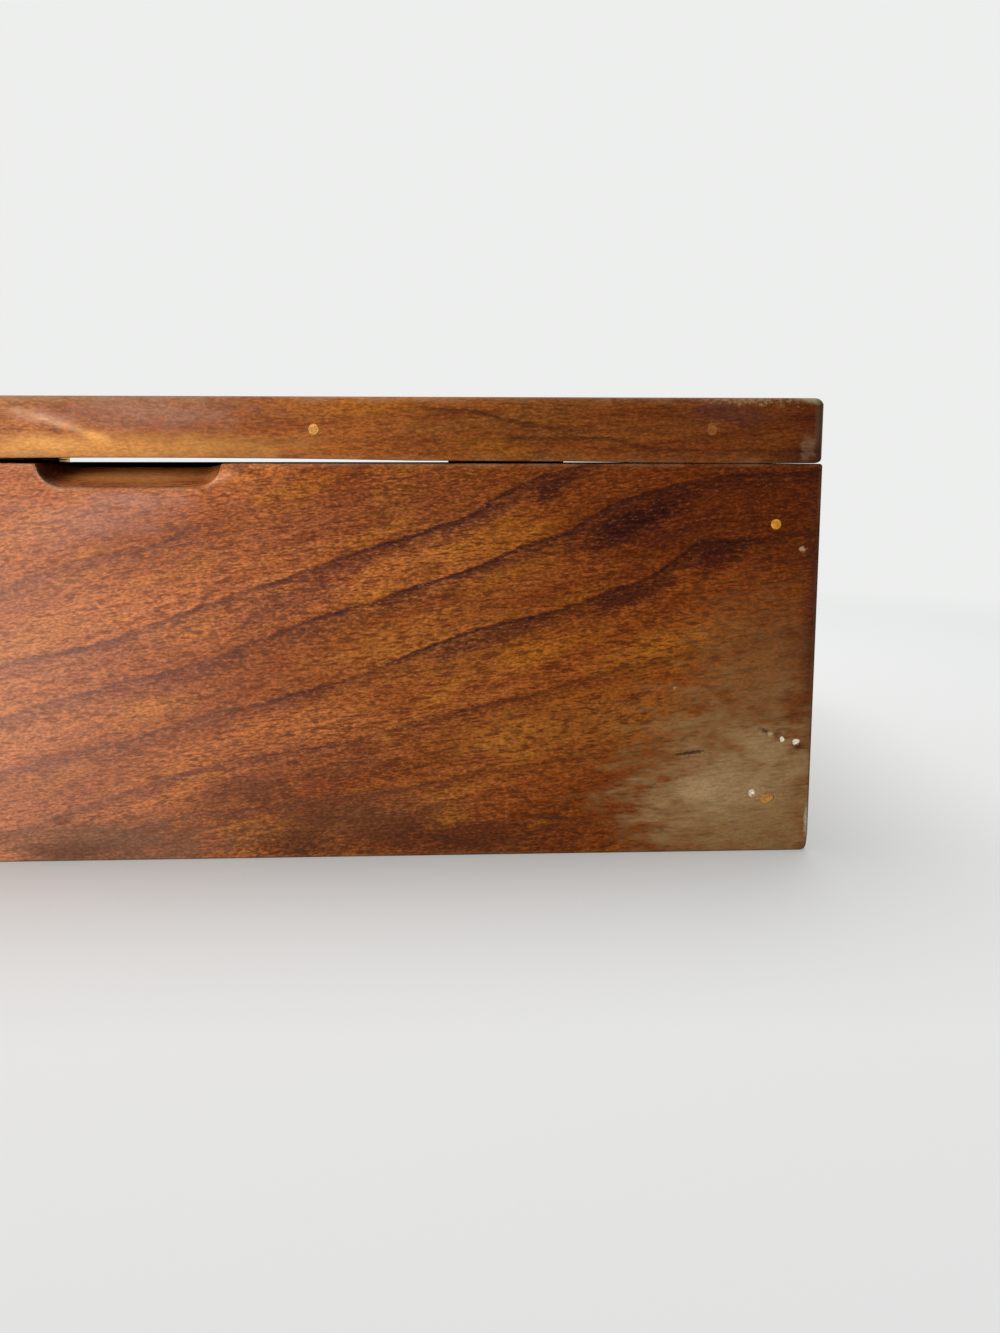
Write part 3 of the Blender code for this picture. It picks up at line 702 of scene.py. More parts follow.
@dataclass(frozen=True)
class PegWood:
    """The pale dowel of the pegs, with its end grain. The colour comes from each peg's own tint."""

    name: str = "peg_dowel"
    speck: Weave = Weave((2300, 400, 2300), detail=3.0, rough=0.65)
    speck_step: Step = Step(0.42, 0.62, 0.55, 0.0)
    speck_colour: Colour = (0.16, 0.055, 0.016)
    bands: Weave = Weave((420, 60, 900), offset=5)
    bands_step: Step = Step(0.45, 0.65, 0.0, 0.6)
    lighter: Colour = (1.4, 1.4, 1.4)
    rough_step: Step = Step(0.3, 0.7, 0.42, 0.6)
    specular: float = 0.06
    bump_strength: float = 0.3
    bump_depth: float = 0.2 * MM

    def make(self) -> bpy.types.Material:
        """Builds the material."""
        bench = Bench(self.name)
        tint = bench.attribute("tint", colour=True)
        speck = bench.noise(bench.place, self.speck)
        bands = bench.ramp(bench.noise(bench.place, self.bands), self.bands_step)
        tone = bench.mix(bench.ramp(speck, self.speck_step), tint, self.speck_colour)
        tone = bench.mix(bands, tone, bench.mix(1.0, tint, self.lighter, "MULTIPLY"))
        return bench.surface(
            Base_Color=tone,
            Roughness=bench.ramp(speck, self.rough_step),
            Specular_IOR_Level=self.specular,
            Normal=bench.bump(speck, self.bump_strength, self.bump_depth),
        )


@dataclass(frozen=True)
class Brass:
    """Rolled or turned brass, dulled by air and handling."""

    name: str
    bright: Colour = (0.47, 0.31, 0.105)
    dull: Colour = (0.24, 0.15, 0.06)
    spotted: Colour = (0.08, 0.045, 0.02)
    brushed: Triple = (60, 2200, 900)
    rough: float = 0.34
    rough_step: Step = Step(0.3, 0.7, -0.06, 0.1)
    air: Weave = Weave((130, 130, 130), detail=4.0, rough=0.65, offset=9)
    air_step: Step = Step(0.48, 0.74)
    air_colour: float = 0.75
    air_rough: float = 0.2
    spots: Weave = Weave((700, 700, 700), offset=2)
    spots_step: Step = Step(0.66, 0.74, 0.0, 0.6)
    bump_strength: float = 0.25
    bump_depth: float = 0.06 * MM

    def make(self) -> bpy.types.Material:
        """Builds the material."""
        bench = Bench(self.name)
        brush = bench.noise(bench.place, Weave(self.brushed))
        stale = bench.ramp(bench.noise(bench.place, self.air), self.air_step)
        spots = bench.ramp(bench.noise(bench.place, self.spots), self.spots_step)
        tone = bench.mix(bench.times(stale, self.air_colour), self.bright, self.dull)
        tone = bench.mix(spots, tone, self.spotted)
        rough = bench.ramp(brush, self.rough_step.times(1.0, self.rough))
        return bench.surface(
            Base_Color=tone,
            Metallic=1.0,
            Roughness=bench.math("MULTIPLY_ADD", stale, self.air_rough, rough),
            Normal=bench.bump(brush, self.bump_strength, self.bump_depth),
        )


@dataclass(frozen=True)
class PanelWood:
    """The plain bottom panel, paler than the boards, with a straight fine grain."""

    name: str = "panel_plain"
    pale: Colour = (0.42, 0.26, 0.135)
    dark: Colour = (0.27, 0.145, 0.065)
    pore: Colour = (0.13, 0.06, 0.025)
    bands: Weave = Weave((4, 55, 55), offset=3)
    bands_step: Step = Step(0.35, 0.65)
    fibre: Weave = Weave((14, 560, 560), detail=4.0, rough=0.66)
    fibre_step: Step = Step(0.42, 0.66, 0.0, 0.7)
    pores: Weave = Weave((90, 2000, 2000), detail=1.0, offset=8)
    pores_step: Step = Step(0.6, 0.7, 0.0, 0.6)
    rough_step: Step = Step(0.3, 0.7, 0.55, 0.68)
    specular: float = 0.25
    bump_strength: float = 0.2
    bump_depth: float = 0.15 * MM

    def make(self) -> bpy.types.Material:
        """Builds the material."""
        bench = Bench(self.name)
        fibre = bench.noise(bench.place, self.fibre)
        tone = bench.mix(bench.ramp(bench.noise(bench.place, self.bands), self.bands_step), self.pale, self.dark)
        tone = bench.mix(bench.ramp(fibre, self.fibre_step), tone, self.dark)
        tone = bench.mix(bench.ramp(bench.noise(bench.place, self.pores), self.pores_step), tone, self.pore)
        return bench.surface(
            Base_Color=tone,
            Roughness=bench.ramp(fibre, self.rough_step),
            Specular_IOR_Level=self.specular,
            Normal=bench.bump(fibre, self.bump_strength, self.bump_depth),
        )


# Growth lines of the front board, from the lowest on the left to the highest

FRONT_LINES = (
    GrowthLine(
        course=((-205, 28), (-120, 52), (-70, 70), (-38.9, 82.6), (-17.9, 91.6), (4.7, 96.8), (16.8, 102.1),
                (25, 104.1), (60, 112), (205, 140)),
        depths=((-205, 0.7), (-40, 0.7), (5, 0.68), (22, 0.35), (34, 0.0), (205, 0.0)),
    ),
    GrowthLine(
        course=((-205, 12), (-130, 30), (-80, 48), (-40.2, 61.2), (-19.8, 65.8), (4.5, 72.5), (26.2, 80.2),
                (43.2, 86.4), (61.9, 92.8), (78.5, 98.4), (89.8, 102.2), (100.2, 105.8), (108.2, 110.2),
                (120.4, 116), (127.2, 117.8), (205, 139)),
        depths=((-205, 0.7), (-40, 0.7), (5, 0.75), (60, 0.75), (90, 0.8), (110, 0.95), (135, 0.8), (205, 0.5)),
    ),
    GrowthLine(
        course=((-205, -6), (-130, 14), (-80, 31), (-41.2, 44.8), (-21.5, 51.6), (-1.8, 56.9), (19.4, 62.2),
                (37.4, 69), (58, 75.8), (78.3, 82), (96, 88), (111.5, 94.5), (125.6, 99.5), (139.6, 106.6),
                (154.5, 112.2), (170.4, 115.7), (205, 119)),
        depths=((-205, 0.7), (-40, 0.7), (20, 0.75), (60, 0.75), (100, 0.8), (140, 0.95), (165, 0.8), (205, 0.6)),
        fade=9.5,
    ),
    GrowthLine(
        course=((-205, -8), (-100, 8), (-42.2, 28.9), (-25.8, 32.4), (-5.4, 36.8), (11.2, 42.8), (32, 48.4),
                (50.1, 53.1), (69, 58.5), (86.9, 66), (106.5, 72.5), (122.5, 75.8), (138.1, 81.2),
                (155.9, 87.7), (163.1, 92.5), (170, 97), (180.6, 97.3), (205, 101)),
        depths=((-205, 0.6), (-40, 0.65), (30, 0.7), (80, 0.68), (120, 0.75), (160, 0.9), (178, 0.95), (190, 0.5),
                (205, 0.4)),
        core=1.3,
    ),
    GrowthLine(
        course=((-205, -9), (-60, 5), (-1, 22.5), (21.5, 29.4), (39.6, 32.9), (56.6, 36.4), (77.3, 41.2),
                (95.8, 46), (113.5, 50.7), (120.8, 52.8), (150, 60), (205, 72)),
        depths=((-205, 0.4), (-40, 0.45), (0, 0.6), (60, 0.5), (110, 0.5), (150, 0.35), (205, 0.25)),
        fade=5.5,
    ),
    GrowthLine(
        course=((-205, -9), (-30, 2), (7.6, 12), (26.7, 15.2), (77.6, 21.8), (100, 26.2), (140, 33), (205, 44)),
        depths=((-205, 0.2), (-30, 0.3), (10, 0.5), (80, 0.4), (110, 0.35), (150, 0.1), (205, 0.0)),
        fade=5.0,
    ),
    GrowthLine(
        course=((-205, 62), (-150, 80), (-100, 98), (-60, 112), (0, 130), (205, 140)),
        depths=((-205, 0.7), (-100, 0.7), (-60, 0.4), (0, 0.0), (205, 0.0)),
    ),
    GrowthLine(
        course=((-205, 88), (-160, 104), (-120, 117), (-60, 132), (205, 140)),
        depths=((-205, 0.7), (-150, 0.6), (-100, 0.3), (-60, 0.0), (205, 0.0)),
    ),
)

SCOOP_PAINTED_SHADOW = (0.018, 0.007, 0.006)
BLOTCH_AND_EDGE_SHADE = (0.040, 0.012, 0.008)
PURPLE = (0.075, 0.015, 0.014)
# Painted sheen: a pale pinkish wash that stands in for the light's reflection.
PAINTED_SHEEN = (0.480, 0.290, 0.240)
HAZY = (0.215, 0.102, 0.034)
SMOKY = (0.075, 0.030, 0.015)
LAVENDER = (0.250, 0.125, 0.095)
HONEY = (0.390, 0.122, 0.014)
LIP_HIGHLIGHT_AND_WEAR = (0.560, 0.300, 0.190)
BLEACHED = (0.345, 0.225, 0.108)
OLIVE = (0.245, 0.145, 0.060)
CHALK = (0.880, 0.790, 0.620)
BONE = (0.480, 0.330, 0.190)
MAROON = (0.100, 0.020, 0.008)
TAWNY = (0.420, 0.130, 0.024)
SANDY = (0.440, 0.170, 0.040)
AMBER = (0.440, 0.150, 0.026)
INK = (0.030, 0.007, 0.007)
PITCH = (0.035, 0.008, 0.008)
GOLDEN = (0.460, 0.175, 0.026)
CALM = (0.205, 0.072, 0.034)
DRAB = (0.115, 0.060, 0.036)
UMBER = (0.070, 0.019, 0.007)
SCOOP_PAINTED_LIGHT = (0.400, 0.160, 0.050)
SHADOW = (0.060, 0.036, 0.018)
SOOT = (0.035, 0.012, 0.008)
STRAW = (0.380, 0.245, 0.120)
DUSTY = (0.450, 0.400, 0.280)
SCRATCH = (0.045, 0.018, 0.010)
RUSSET = (0.330, 0.130, 0.070)
MISTY = (0.230, 0.115, 0.080)
BLUSH = (0.330, 0.180, 0.125)
WARM = (0.430, 0.190, 0.042)
OCHRE = (0.460, 0.220, 0.055)
FLASH = (0.520, 0.290, 0.150)
GLOW = (0.560, 0.270, 0.060)
STAINED = (0.065, 0.022, 0.020)
RUBBED = (0.300, 0.210, 0.110)
GREYED = (0.260, 0.220, 0.130)
KNOCKED = (0.330, 0.150, 0.060)

FRONT_STAINS = (
    # Partly painted shade that darkens the upper right, partly the wood's own dark zone.
    Patch((165, 104), (78, 32), MAROON, 0.5, turn=17, ragged=0.9),
    Patch((58, 104), (66, 17), PURPLE, 0.36, turn=10, ragged=0.9),
    Patch((48, 30), (50, 17), PURPLE, 0.3, turn=10, ragged=0.9),
    Patch((90, 66), (55, 14), TAWNY, 0.35, turn=10, ragged=0.9),
    Patch((150, 42), (52, 17), SANDY, 0.4, turn=8, ragged=0.9),
    Patch((112, 38), (24, 10), AMBER, 0.4, turn=10, ragged=0.9),
    Patch((112, 70), (22, 4.5), PURPLE, 0.55, turn=18, ragged=1.1),
    Patch((150, 103), (25, 6.5), PURPLE, 0.85, turn=24, ragged=1.0),
    Patch((148, 103), (27, 6.5), INK, 0.88, turn=24, ragged=1.2),
    Patch((173, 93), (11, 5.5), INK, 0.85, turn=14, ragged=1.1),
    Patch((150, 81.5), (18, 4.5), PITCH, 0.78, turn=20, ragged=1.2),
    Patch((162, 100), (16, 4.5), PURPLE, 0.6, turn=20, ragged=1.1),
    Patch((144, 79), (13, 3.8), PURPLE, 0.7, turn=20, ragged=1.0),
    Patch((173, 92.5), (12, 5), PURPLE, 0.85, turn=14, ragged=1.0),
    Patch((124, 113), (13, 4.5), PITCH, 0.85, turn=25, ragged=1.1),
    Patch((105, 106), (14, 3.5), PURPLE, 0.5, turn=22, ragged=1.0),
    Patch((60, 88), (22, 5), PURPLE, 0.5, turn=20, ragged=1.1),
    Patch((94, 64), (16, 4), PURPLE, 0.6, turn=20, ragged=1.1),
    Patch((106, 90), (8, 2.5), PURPLE, 0.5, turn=20, ragged=1.0),
    Patch((45, 79), (28, 6), PURPLE, 0.55, turn=18, ragged=1.1),
    Patch((-12, 62), (22, 4), PURPLE, 0.3, turn=16, ragged=1.0),
    Patch((89, 49), (10, 4), HONEY, 0.5, turn=17, ragged=1.0),
    Patch((160, 65), (30, 10), GOLDEN, 0.6, turn=17, ragged=1.0),
    Patch((120, 62), (22, 5), HONEY, 0.4, turn=17, ragged=1.0),
    Patch((75, 38), (9, 3), HONEY, 0.4, turn=17, ragged=1.0),
    Patch((112, 88), (24, 4), HONEY, 0.4, turn=20, ragged=1.0),
    Patch((120, 101), (12, 3), HONEY, 0.4, turn=20, ragged=1.0),
)
FRONT_PATCHES = (
    # Part of the painted sheen: evens out the grain's contrast over the left, where the sheen washes it out.
    Patch((-90, 60), (160, 150), CALM, 0.36, soft=1.0, ragged=0.2),
    # Painted sheen: a pale pinkish wash over the left of the front, where the light's reflection lies.
    Patch((-70, 50), (155, 150), PAINTED_SHEEN, 0.2, soft=1.0, ragged=0.2),
    Patch((60, 11), (52, 14), SMOKY, 0.72, turn=4, ragged=0.9),
    Patch((-10, 6), (56, 11), DRAB, 0.75, ragged=0.9),
    Patch((-22, 3), (22, 5), SMOKY, 0.6, ragged=0.8),
    Patch((80, 6), (50, 11), UMBER, 0.55, ragged=0.9),
    Patch((30, 21), (20, 8), SMOKY, 0.45, turn=12, ragged=0.9),
    Patch((60, 28), (26, 5), SMOKY, 0.4, turn=14, ragged=0.9),
    Patch((104, 5), (46, 9), BLOTCH_AND_EDGE_SHADE, 0.55, ragged=0.9),
    Patch((-10, 104), (40, 10), LAVENDER, 0.45, turn=8, ragged=1.0),
    Patch((1.5, 109.5), (21, 3.6), LAVENDER, 0.5),
    # Painted light: the scoop's inside is coloured lighter than the wood around it, where the lid shades it.
    Patch((1, 116.4), (27, 3.3), SCOOP_PAINTED_LIGHT, 0.8, soft=0.6, ragged=0.6, deep=30),
    # Painted shadow: near black in the scoop's left end, which faces away from the light.
    Patch((-21.5, 117.0), (6.5, 3.0), SCOOP_PAINTED_SHADOW, 0.9, soft=0.7, deep=6),
    Patch((21.0, 116.8), (6.0, 2.6), SHADOW, 0.8, soft=0.8, deep=6),
    # Partly painted highlight, partly wear: pale pink ridges along the scoop's eased lip and ends.
    Patch((25.5, 115.5), (10, 2.2), LIP_HIGHLIGHT_AND_WEAR, 0.3, turn=22, soft=1.0, deep=4),
    Patch((-23.5, 115.0), (8.5, 1.8), LIP_HIGHLIGHT_AND_WEAR, 0.3, turn=-36, soft=1.0, deep=4),
    Patch((124, 11.7), (12, 1.7), BLOTCH_AND_EDGE_SHADE, 0.75, turn=-5),
    Patch((45, 4), (24, 6), SOOT, 0.5, ragged=0.9),
    Patch((-25, 13), (4, 2.2), BLOTCH_AND_EDGE_SHADE, 0.4),
    Patch((36.5, 18.5), (4, 2.0), BLOTCH_AND_EDGE_SHADE, 0.4),
    Patch((186, 50), (34, 44), HAZY, 0.52, turn=-14, ragged=1.1),
    Patch((182, 16), (56, 38), HAZY, 0.6, ragged=0.9),
    Patch((186, 16), (50, 42), OLIVE, 0.86, turn=-12, soft=0.95, ragged=1.6),
    Patch((176, 20), (32, 14), BLEACHED, 0.7, turn=10, ragged=1.2),
    Patch((192, 33), (16, 8), BLEACHED, 0.55, turn=-20, ragged=1.2),
    Patch((170, 20), (12, 5), STRAW, 0.5, turn=15, ragged=1.0),
    Patch((204.8, 10), (1.6, 7), DUSTY, 0.75, soft=0.5),
    # Painted shade: a dark strip down the front's right end, where the rounded corner turns away from the light.
    Patch((206, 80), (7, 60), BLOTCH_AND_EDGE_SHADE, 0.7, soft=0.8, ragged=0.3),
    Patch((167, 31.8), (7.0, 0.7), SCRATCH, 0.85, turn=8.7, soft=0.6, ragged=2.0, deep=3),
    Patch((190.2, 38.6), (2.6, 1.2), BLOTCH_AND_EDGE_SHADE, 0.8, turn=-30, ragged=1.6, deep=3),
    Patch((194.0, 37.4), (1.8, 1.6), BLOTCH_AND_EDGE_SHADE, 0.6, ragged=1.6, deep=3),
    Patch((200.6, 33.6), (2.2, 1.9), BLOTCH_AND_EDGE_SHADE, 0.6, ragged=1.6, deep=3),
    Patch((191.9, 37.4), (1.0, 0.9), BONE, 0.7, soft=0.5, ragged=2.4, deep=2),
    Patch((195.6, 35.8), (0.9, 0.9), CHALK, 0.9, soft=0.5, ragged=1.8, deep=2),
    Patch((200.2, 35.0), (1.25, 1.1), CHALK, 0.95, soft=0.5, ragged=2.0, deep=2),
    Patch((186.8, 18.7), (1.1, 1.5), CHALK, 0.95, soft=0.5, ragged=1.8, deep=2),
    Patch((191.5, 17.4), (3.6, 1.6), RUSSET, 0.5, turn=10, ragged=1.2, deep=3),
    Patch((199.9, 94.5), (1.4, 1.0), BONE, 0.6, soft=0.6, ragged=2.8, deep=2),
    Patch((202.0, 93.0), (1.6, 1.4), BLOTCH_AND_EDGE_SHADE, 0.6, soft=0.6, ragged=2.0, deep=2),
    Patch((161.9, 52.2), (0.9, 0.5), BONE, 0.5, soft=0.6, ragged=2.0, deep=2),
)

LID_LINES = (
    GrowthLine(
        course=((-205, 124), (-60, 127.5), (0, 129), (60, 132), (91.8, 136.8), (113.2, 132.6), (130.7, 131.0),
                (170, 133), (205, 134)),
        depths=((-205, 0.5), (-40, 0.0), (60, 0.0), (85, 0.45), (110, 0.6), (135, 0.4), (160, 0.2), (205, 0.3)),
        core=1.2,
        fade=3.0,
    ),
    GrowthLine(
        course=((-205, 131), (-40, 127), (20, 126.5), (80, 127), (138, 128), (153, 125.5), (205, 125)),
        depths=((-205, 0.5), (-40, 0.15), (20, 0.25), (100, 0.25), (135, 0.5), (155, 0.5), (205, 0.3)),
        core=1.0,
        fade=3.2,
    ),
)

LID_PATCHES = (
    Patch((8, 134.5), (40, 7.0), MISTY, 0.55, ragged=1.0),
    Patch((-24, 133.0), (16, 4.0), BLUSH, 0.45, turn=-12, ragged=1.0),
    Patch((0, 124.5), (70, 6.0), WARM, 0.6, ragged=0.8),
    Patch((-26, 126.0), (16, 4.0), OCHRE, 0.5, ragged=0.8),
    Patch((-20, 131.6), (20, 2.2), FLASH, 0.45, turn=-17.5, soft=1.0, ragged=0.9, deep=5),
    Patch((-9, 127.5), (8, 3.0), GLOW, 0.5, turn=-25, soft=1.0, deep=5),
    Patch((176, 134.8), (16, 4.0), STAINED, 0.55, turn=-8, ragged=1.0),
    Patch((182, 138.8), (13, 1.8), RUBBED, 0.45, ragged=5.0, deep=4),
    Patch((200.5, 139.4), (6.5, 2.2), GREYED, 0.85, turn=-14, soft=0.6, ragged=1.0, deep=6),
    Patch((200.6, 125.4), (2.6, 4.0), BONE, 0.15, soft=0.6, ragged=4.0, deep=3),
    # Painted shade: a dark strip at the lid rail's right end, where the rounded corner turns away from the light.
    Patch((206, 130), (4.5, 14), BLOTCH_AND_EDGE_SHADE, 0.8, soft=0.8, ragged=0.3),
    # Painted sheen over the left of the lid rail.
    Patch((-40, 131), (170, 40), PAINTED_SHEEN, 0.06, soft=1.0, ragged=0.2),
    Patch((171.5, 130.6), (2.4, 1.8), KNOCKED, 0.5, ragged=2.4, deep=4),
)

# Partly painted shade: the front darkens towards the right as the light falls off, and is bluer on the left for a
# painted sheen. Partly the wood's own tone.
FRONT_PAINTED_SHADE = (
    (-30, (0.90, 1.00, 1.02)),
    (20, (0.96, 1.06, 1.06)),
    (90, (0.88, 1.02, 1.00)),
    (125, (0.76, 0.76, 0.56)),
    (160, (0.64, 0.57, 0.35)),
    (205, (0.53, 0.45, 0.31)),
)
PLAIN_SHADE = ((0, (0.74, 0.88, 0.95)),)
# Partly painted shade: the lid rail darkens towards its right end as the light falls off, and is bluer on the left for
# a painted sheen. Partly the wood's own tone.
LID_PAINTED_SHADE = (
    (-30, (0.72, 0.86, 0.88)),
    (10, (0.70, 0.67, 0.48)),
    (60, (0.83, 0.83, 0.52)),
    (120, (0.63, 0.65, 0.48)),
    (190, (0.46, 0.43, 0.38)),
    (205, (0.27, 0.20, 0.20)),
)
FRONT_FIGURE = Figure(low=-12.0, high=142.0, lines=FRONT_LINES, stains=FRONT_STAINS, patches=FRONT_PATCHES)
LID_FIGURE = Figure(low=118.0, high=142.0, lines=LID_LINES, patches=LID_PATCHES, slope=3.0, rise_in_depth=0.2)


# Meshes


def new_piece(name: str, mesh: bpy.types.Mesh) -> bpy.types.Object:
    """A scene object for a mesh."""
    piece = bpy.data.objects.new(name, mesh)
    bpy.context.scene.collection.objects.link(piece)
    return piece


def closed_mesh(name: str, bm: bmesh.types.BMesh) -> bpy.types.Mesh:
    """A mesh from a bmesh, merged and with its faces outwards."""
    bmesh.ops.remove_doubles(bm, verts=bm.verts, dist=MERGE)
    bmesh.ops.recalc_face_normals(bm, faces=bm.faces)
    mesh = bpy.data.meshes.new(name)
    bm.to_mesh(mesh)
    bm.free()
    return mesh


def lathe(name: str, profile: Sequence[Point2], place: Matrix, sides: int = 40) -> bpy.types.Object:
    """A turned solid.

    Args:
        name: The object's name.
        profile: Points (height, radius) from one flat end to the other, along the solid's own Z.
        place: Where that axis lies in the box.
        sides: The number of sides.

    Returns:
        The object, at the origin, with its place in its mesh.
    """
    bm = bmesh.new()
    turns = [FULL_TURN * side / sides for side in range(sides)]
    rings = [
        [bm.verts.new(place @ Vector((radius * math.cos(t), radius * math.sin(t), height))) for t in turns]
        for height, radius in profile
    ]
    for low, high in zip(rings, rings[1:]):
        for side in range(sides):
            after = (side + 1) % sides
            bm.faces.new((low[side], low[after], high[after], high[side]))
    bm.faces.new(reversed(rings[0]))
    bm.faces.new(rings[-1])
    return new_piece(name, closed_mesh(name, bm))


def rod(
    name: str, radius: float, start: Vector, end: Vector, eased: float = 0.0, sides: int = 40
) -> bpy.types.Object:
    """A round rod between two places, with its ends eased."""
    length = (end - start).length
    turn = (end - start).to_track_quat("Z", "Y").to_matrix().to_4x4()
    profile = [(0.0, radius - eased), (eased, radius), (length - eased, radius), (length, radius - eased)]
    if not eased:
        profile = [(0.0, radius), (length, radius)]
    return lathe(name, profile, Matrix.Translation(start) @ turn, sides)


def block(name: str, low: Sequence[float], high: Sequence[float], eased: float = 0.0) -> bpy.types.Object:
    """A block between two corners, with its edges eased."""
    bm = bmesh.new()
    bmesh.ops.create_cube(bm, size=1)
    low, high = Vector(low), Vector(high)
    for vert in bm.verts:
        vert.co = Vector(low[i] + (vert.co[i] + 0.5) * (high[i] - low[i]) for i in range(3))
    if eased:
        bmesh.ops.bevel(bm, geom=bm.edges[:], offset=eased, segments=2, profile=0.5, affect="EDGES")
    return new_piece(name, closed_mesh(name, bm))


def frozen(piece: bpy.types.Object) -> None:
    """Turns a piece's modifiers into its mesh."""
    graph = bpy.context.evaluated_depsgraph_get()
    held = piece.evaluated_get(graph)
    mesh = bpy.data.meshes.new_from_object(held, preserve_all_data_layers=True, depsgraph=graph)
    piece.modifiers.clear()
    old = piece.data
    piece.data = mesh
    bpy.data.meshes.remove(old)


def carved(piece: bpy.types.Object, tools: Sequence[bpy.types.Object], operation: str = "DIFFERENCE") -> None:
    """Cuts tools from a piece, or joins them to it, and removes them."""
    group = bpy.data.collections.new(piece.name + "_tools")
    bpy.context.scene.collection.children.link(group)
    for tool in tools:
        bpy.context.scene.collection.objects.unlink(tool)
        group.objects.link(tool)
    cut = piece.modifiers.new("carved", "BOOLEAN")
    cut.operation = operation
    cut.solver = "MANIFOLD"
    cut.operand_type = "COLLECTION"
    cut.collection = group
    frozen(piece)
    for tool in tools:
        bpy.data.objects.remove(tool, do_unlink=True)
    bpy.data.collections.remove(group)


def finished(
    piece: bpy.types.Object, body: Body, material: bpy.types.Material, nodes: Sequence[str]
) -> None:
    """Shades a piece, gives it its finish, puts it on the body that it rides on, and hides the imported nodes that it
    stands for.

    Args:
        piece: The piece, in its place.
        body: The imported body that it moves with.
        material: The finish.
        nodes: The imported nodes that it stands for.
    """
    if body is Body.LID:
        piece.data.transform(LAYOUT.lean())
    piece.data.shade_smooth()
    piece.data.set_sharp_from_angle(angle=SHARP)
    piece.data.materials.clear()
    piece.data.materials.append(material)
    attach(piece, body.value)
    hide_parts(*nodes)
    log.info("%s: %d faces on %s", piece.name, len(piece.data.polygons), body.value)


@dataclass(frozen=True)
class Pit:
    """A dent in a face: its centre, half sizes and depth in millimetres, its turn in degrees."""

    centre: Point2
    reach: Point2
    depth: float
    turn: float = 0.0

    def sunk(self, x: float, z: float) -> float:
        """How deep the dent is at a place of the face, in metres."""
        dx, dz = x - self.centre[0] * MM, z - self.centre[1] * MM
        turn = math.radians(self.turn)
        along = (dx * math.cos(turn) + dz * math.sin(turn)) / (self.reach[0] * MM)
        across = (dz * math.cos(turn) - dx * math.sin(turn)) / (self.reach[1] * MM)
        share = max(1.0 - along * along - across * across, 0.0)
        return self.depth * MM * share * share


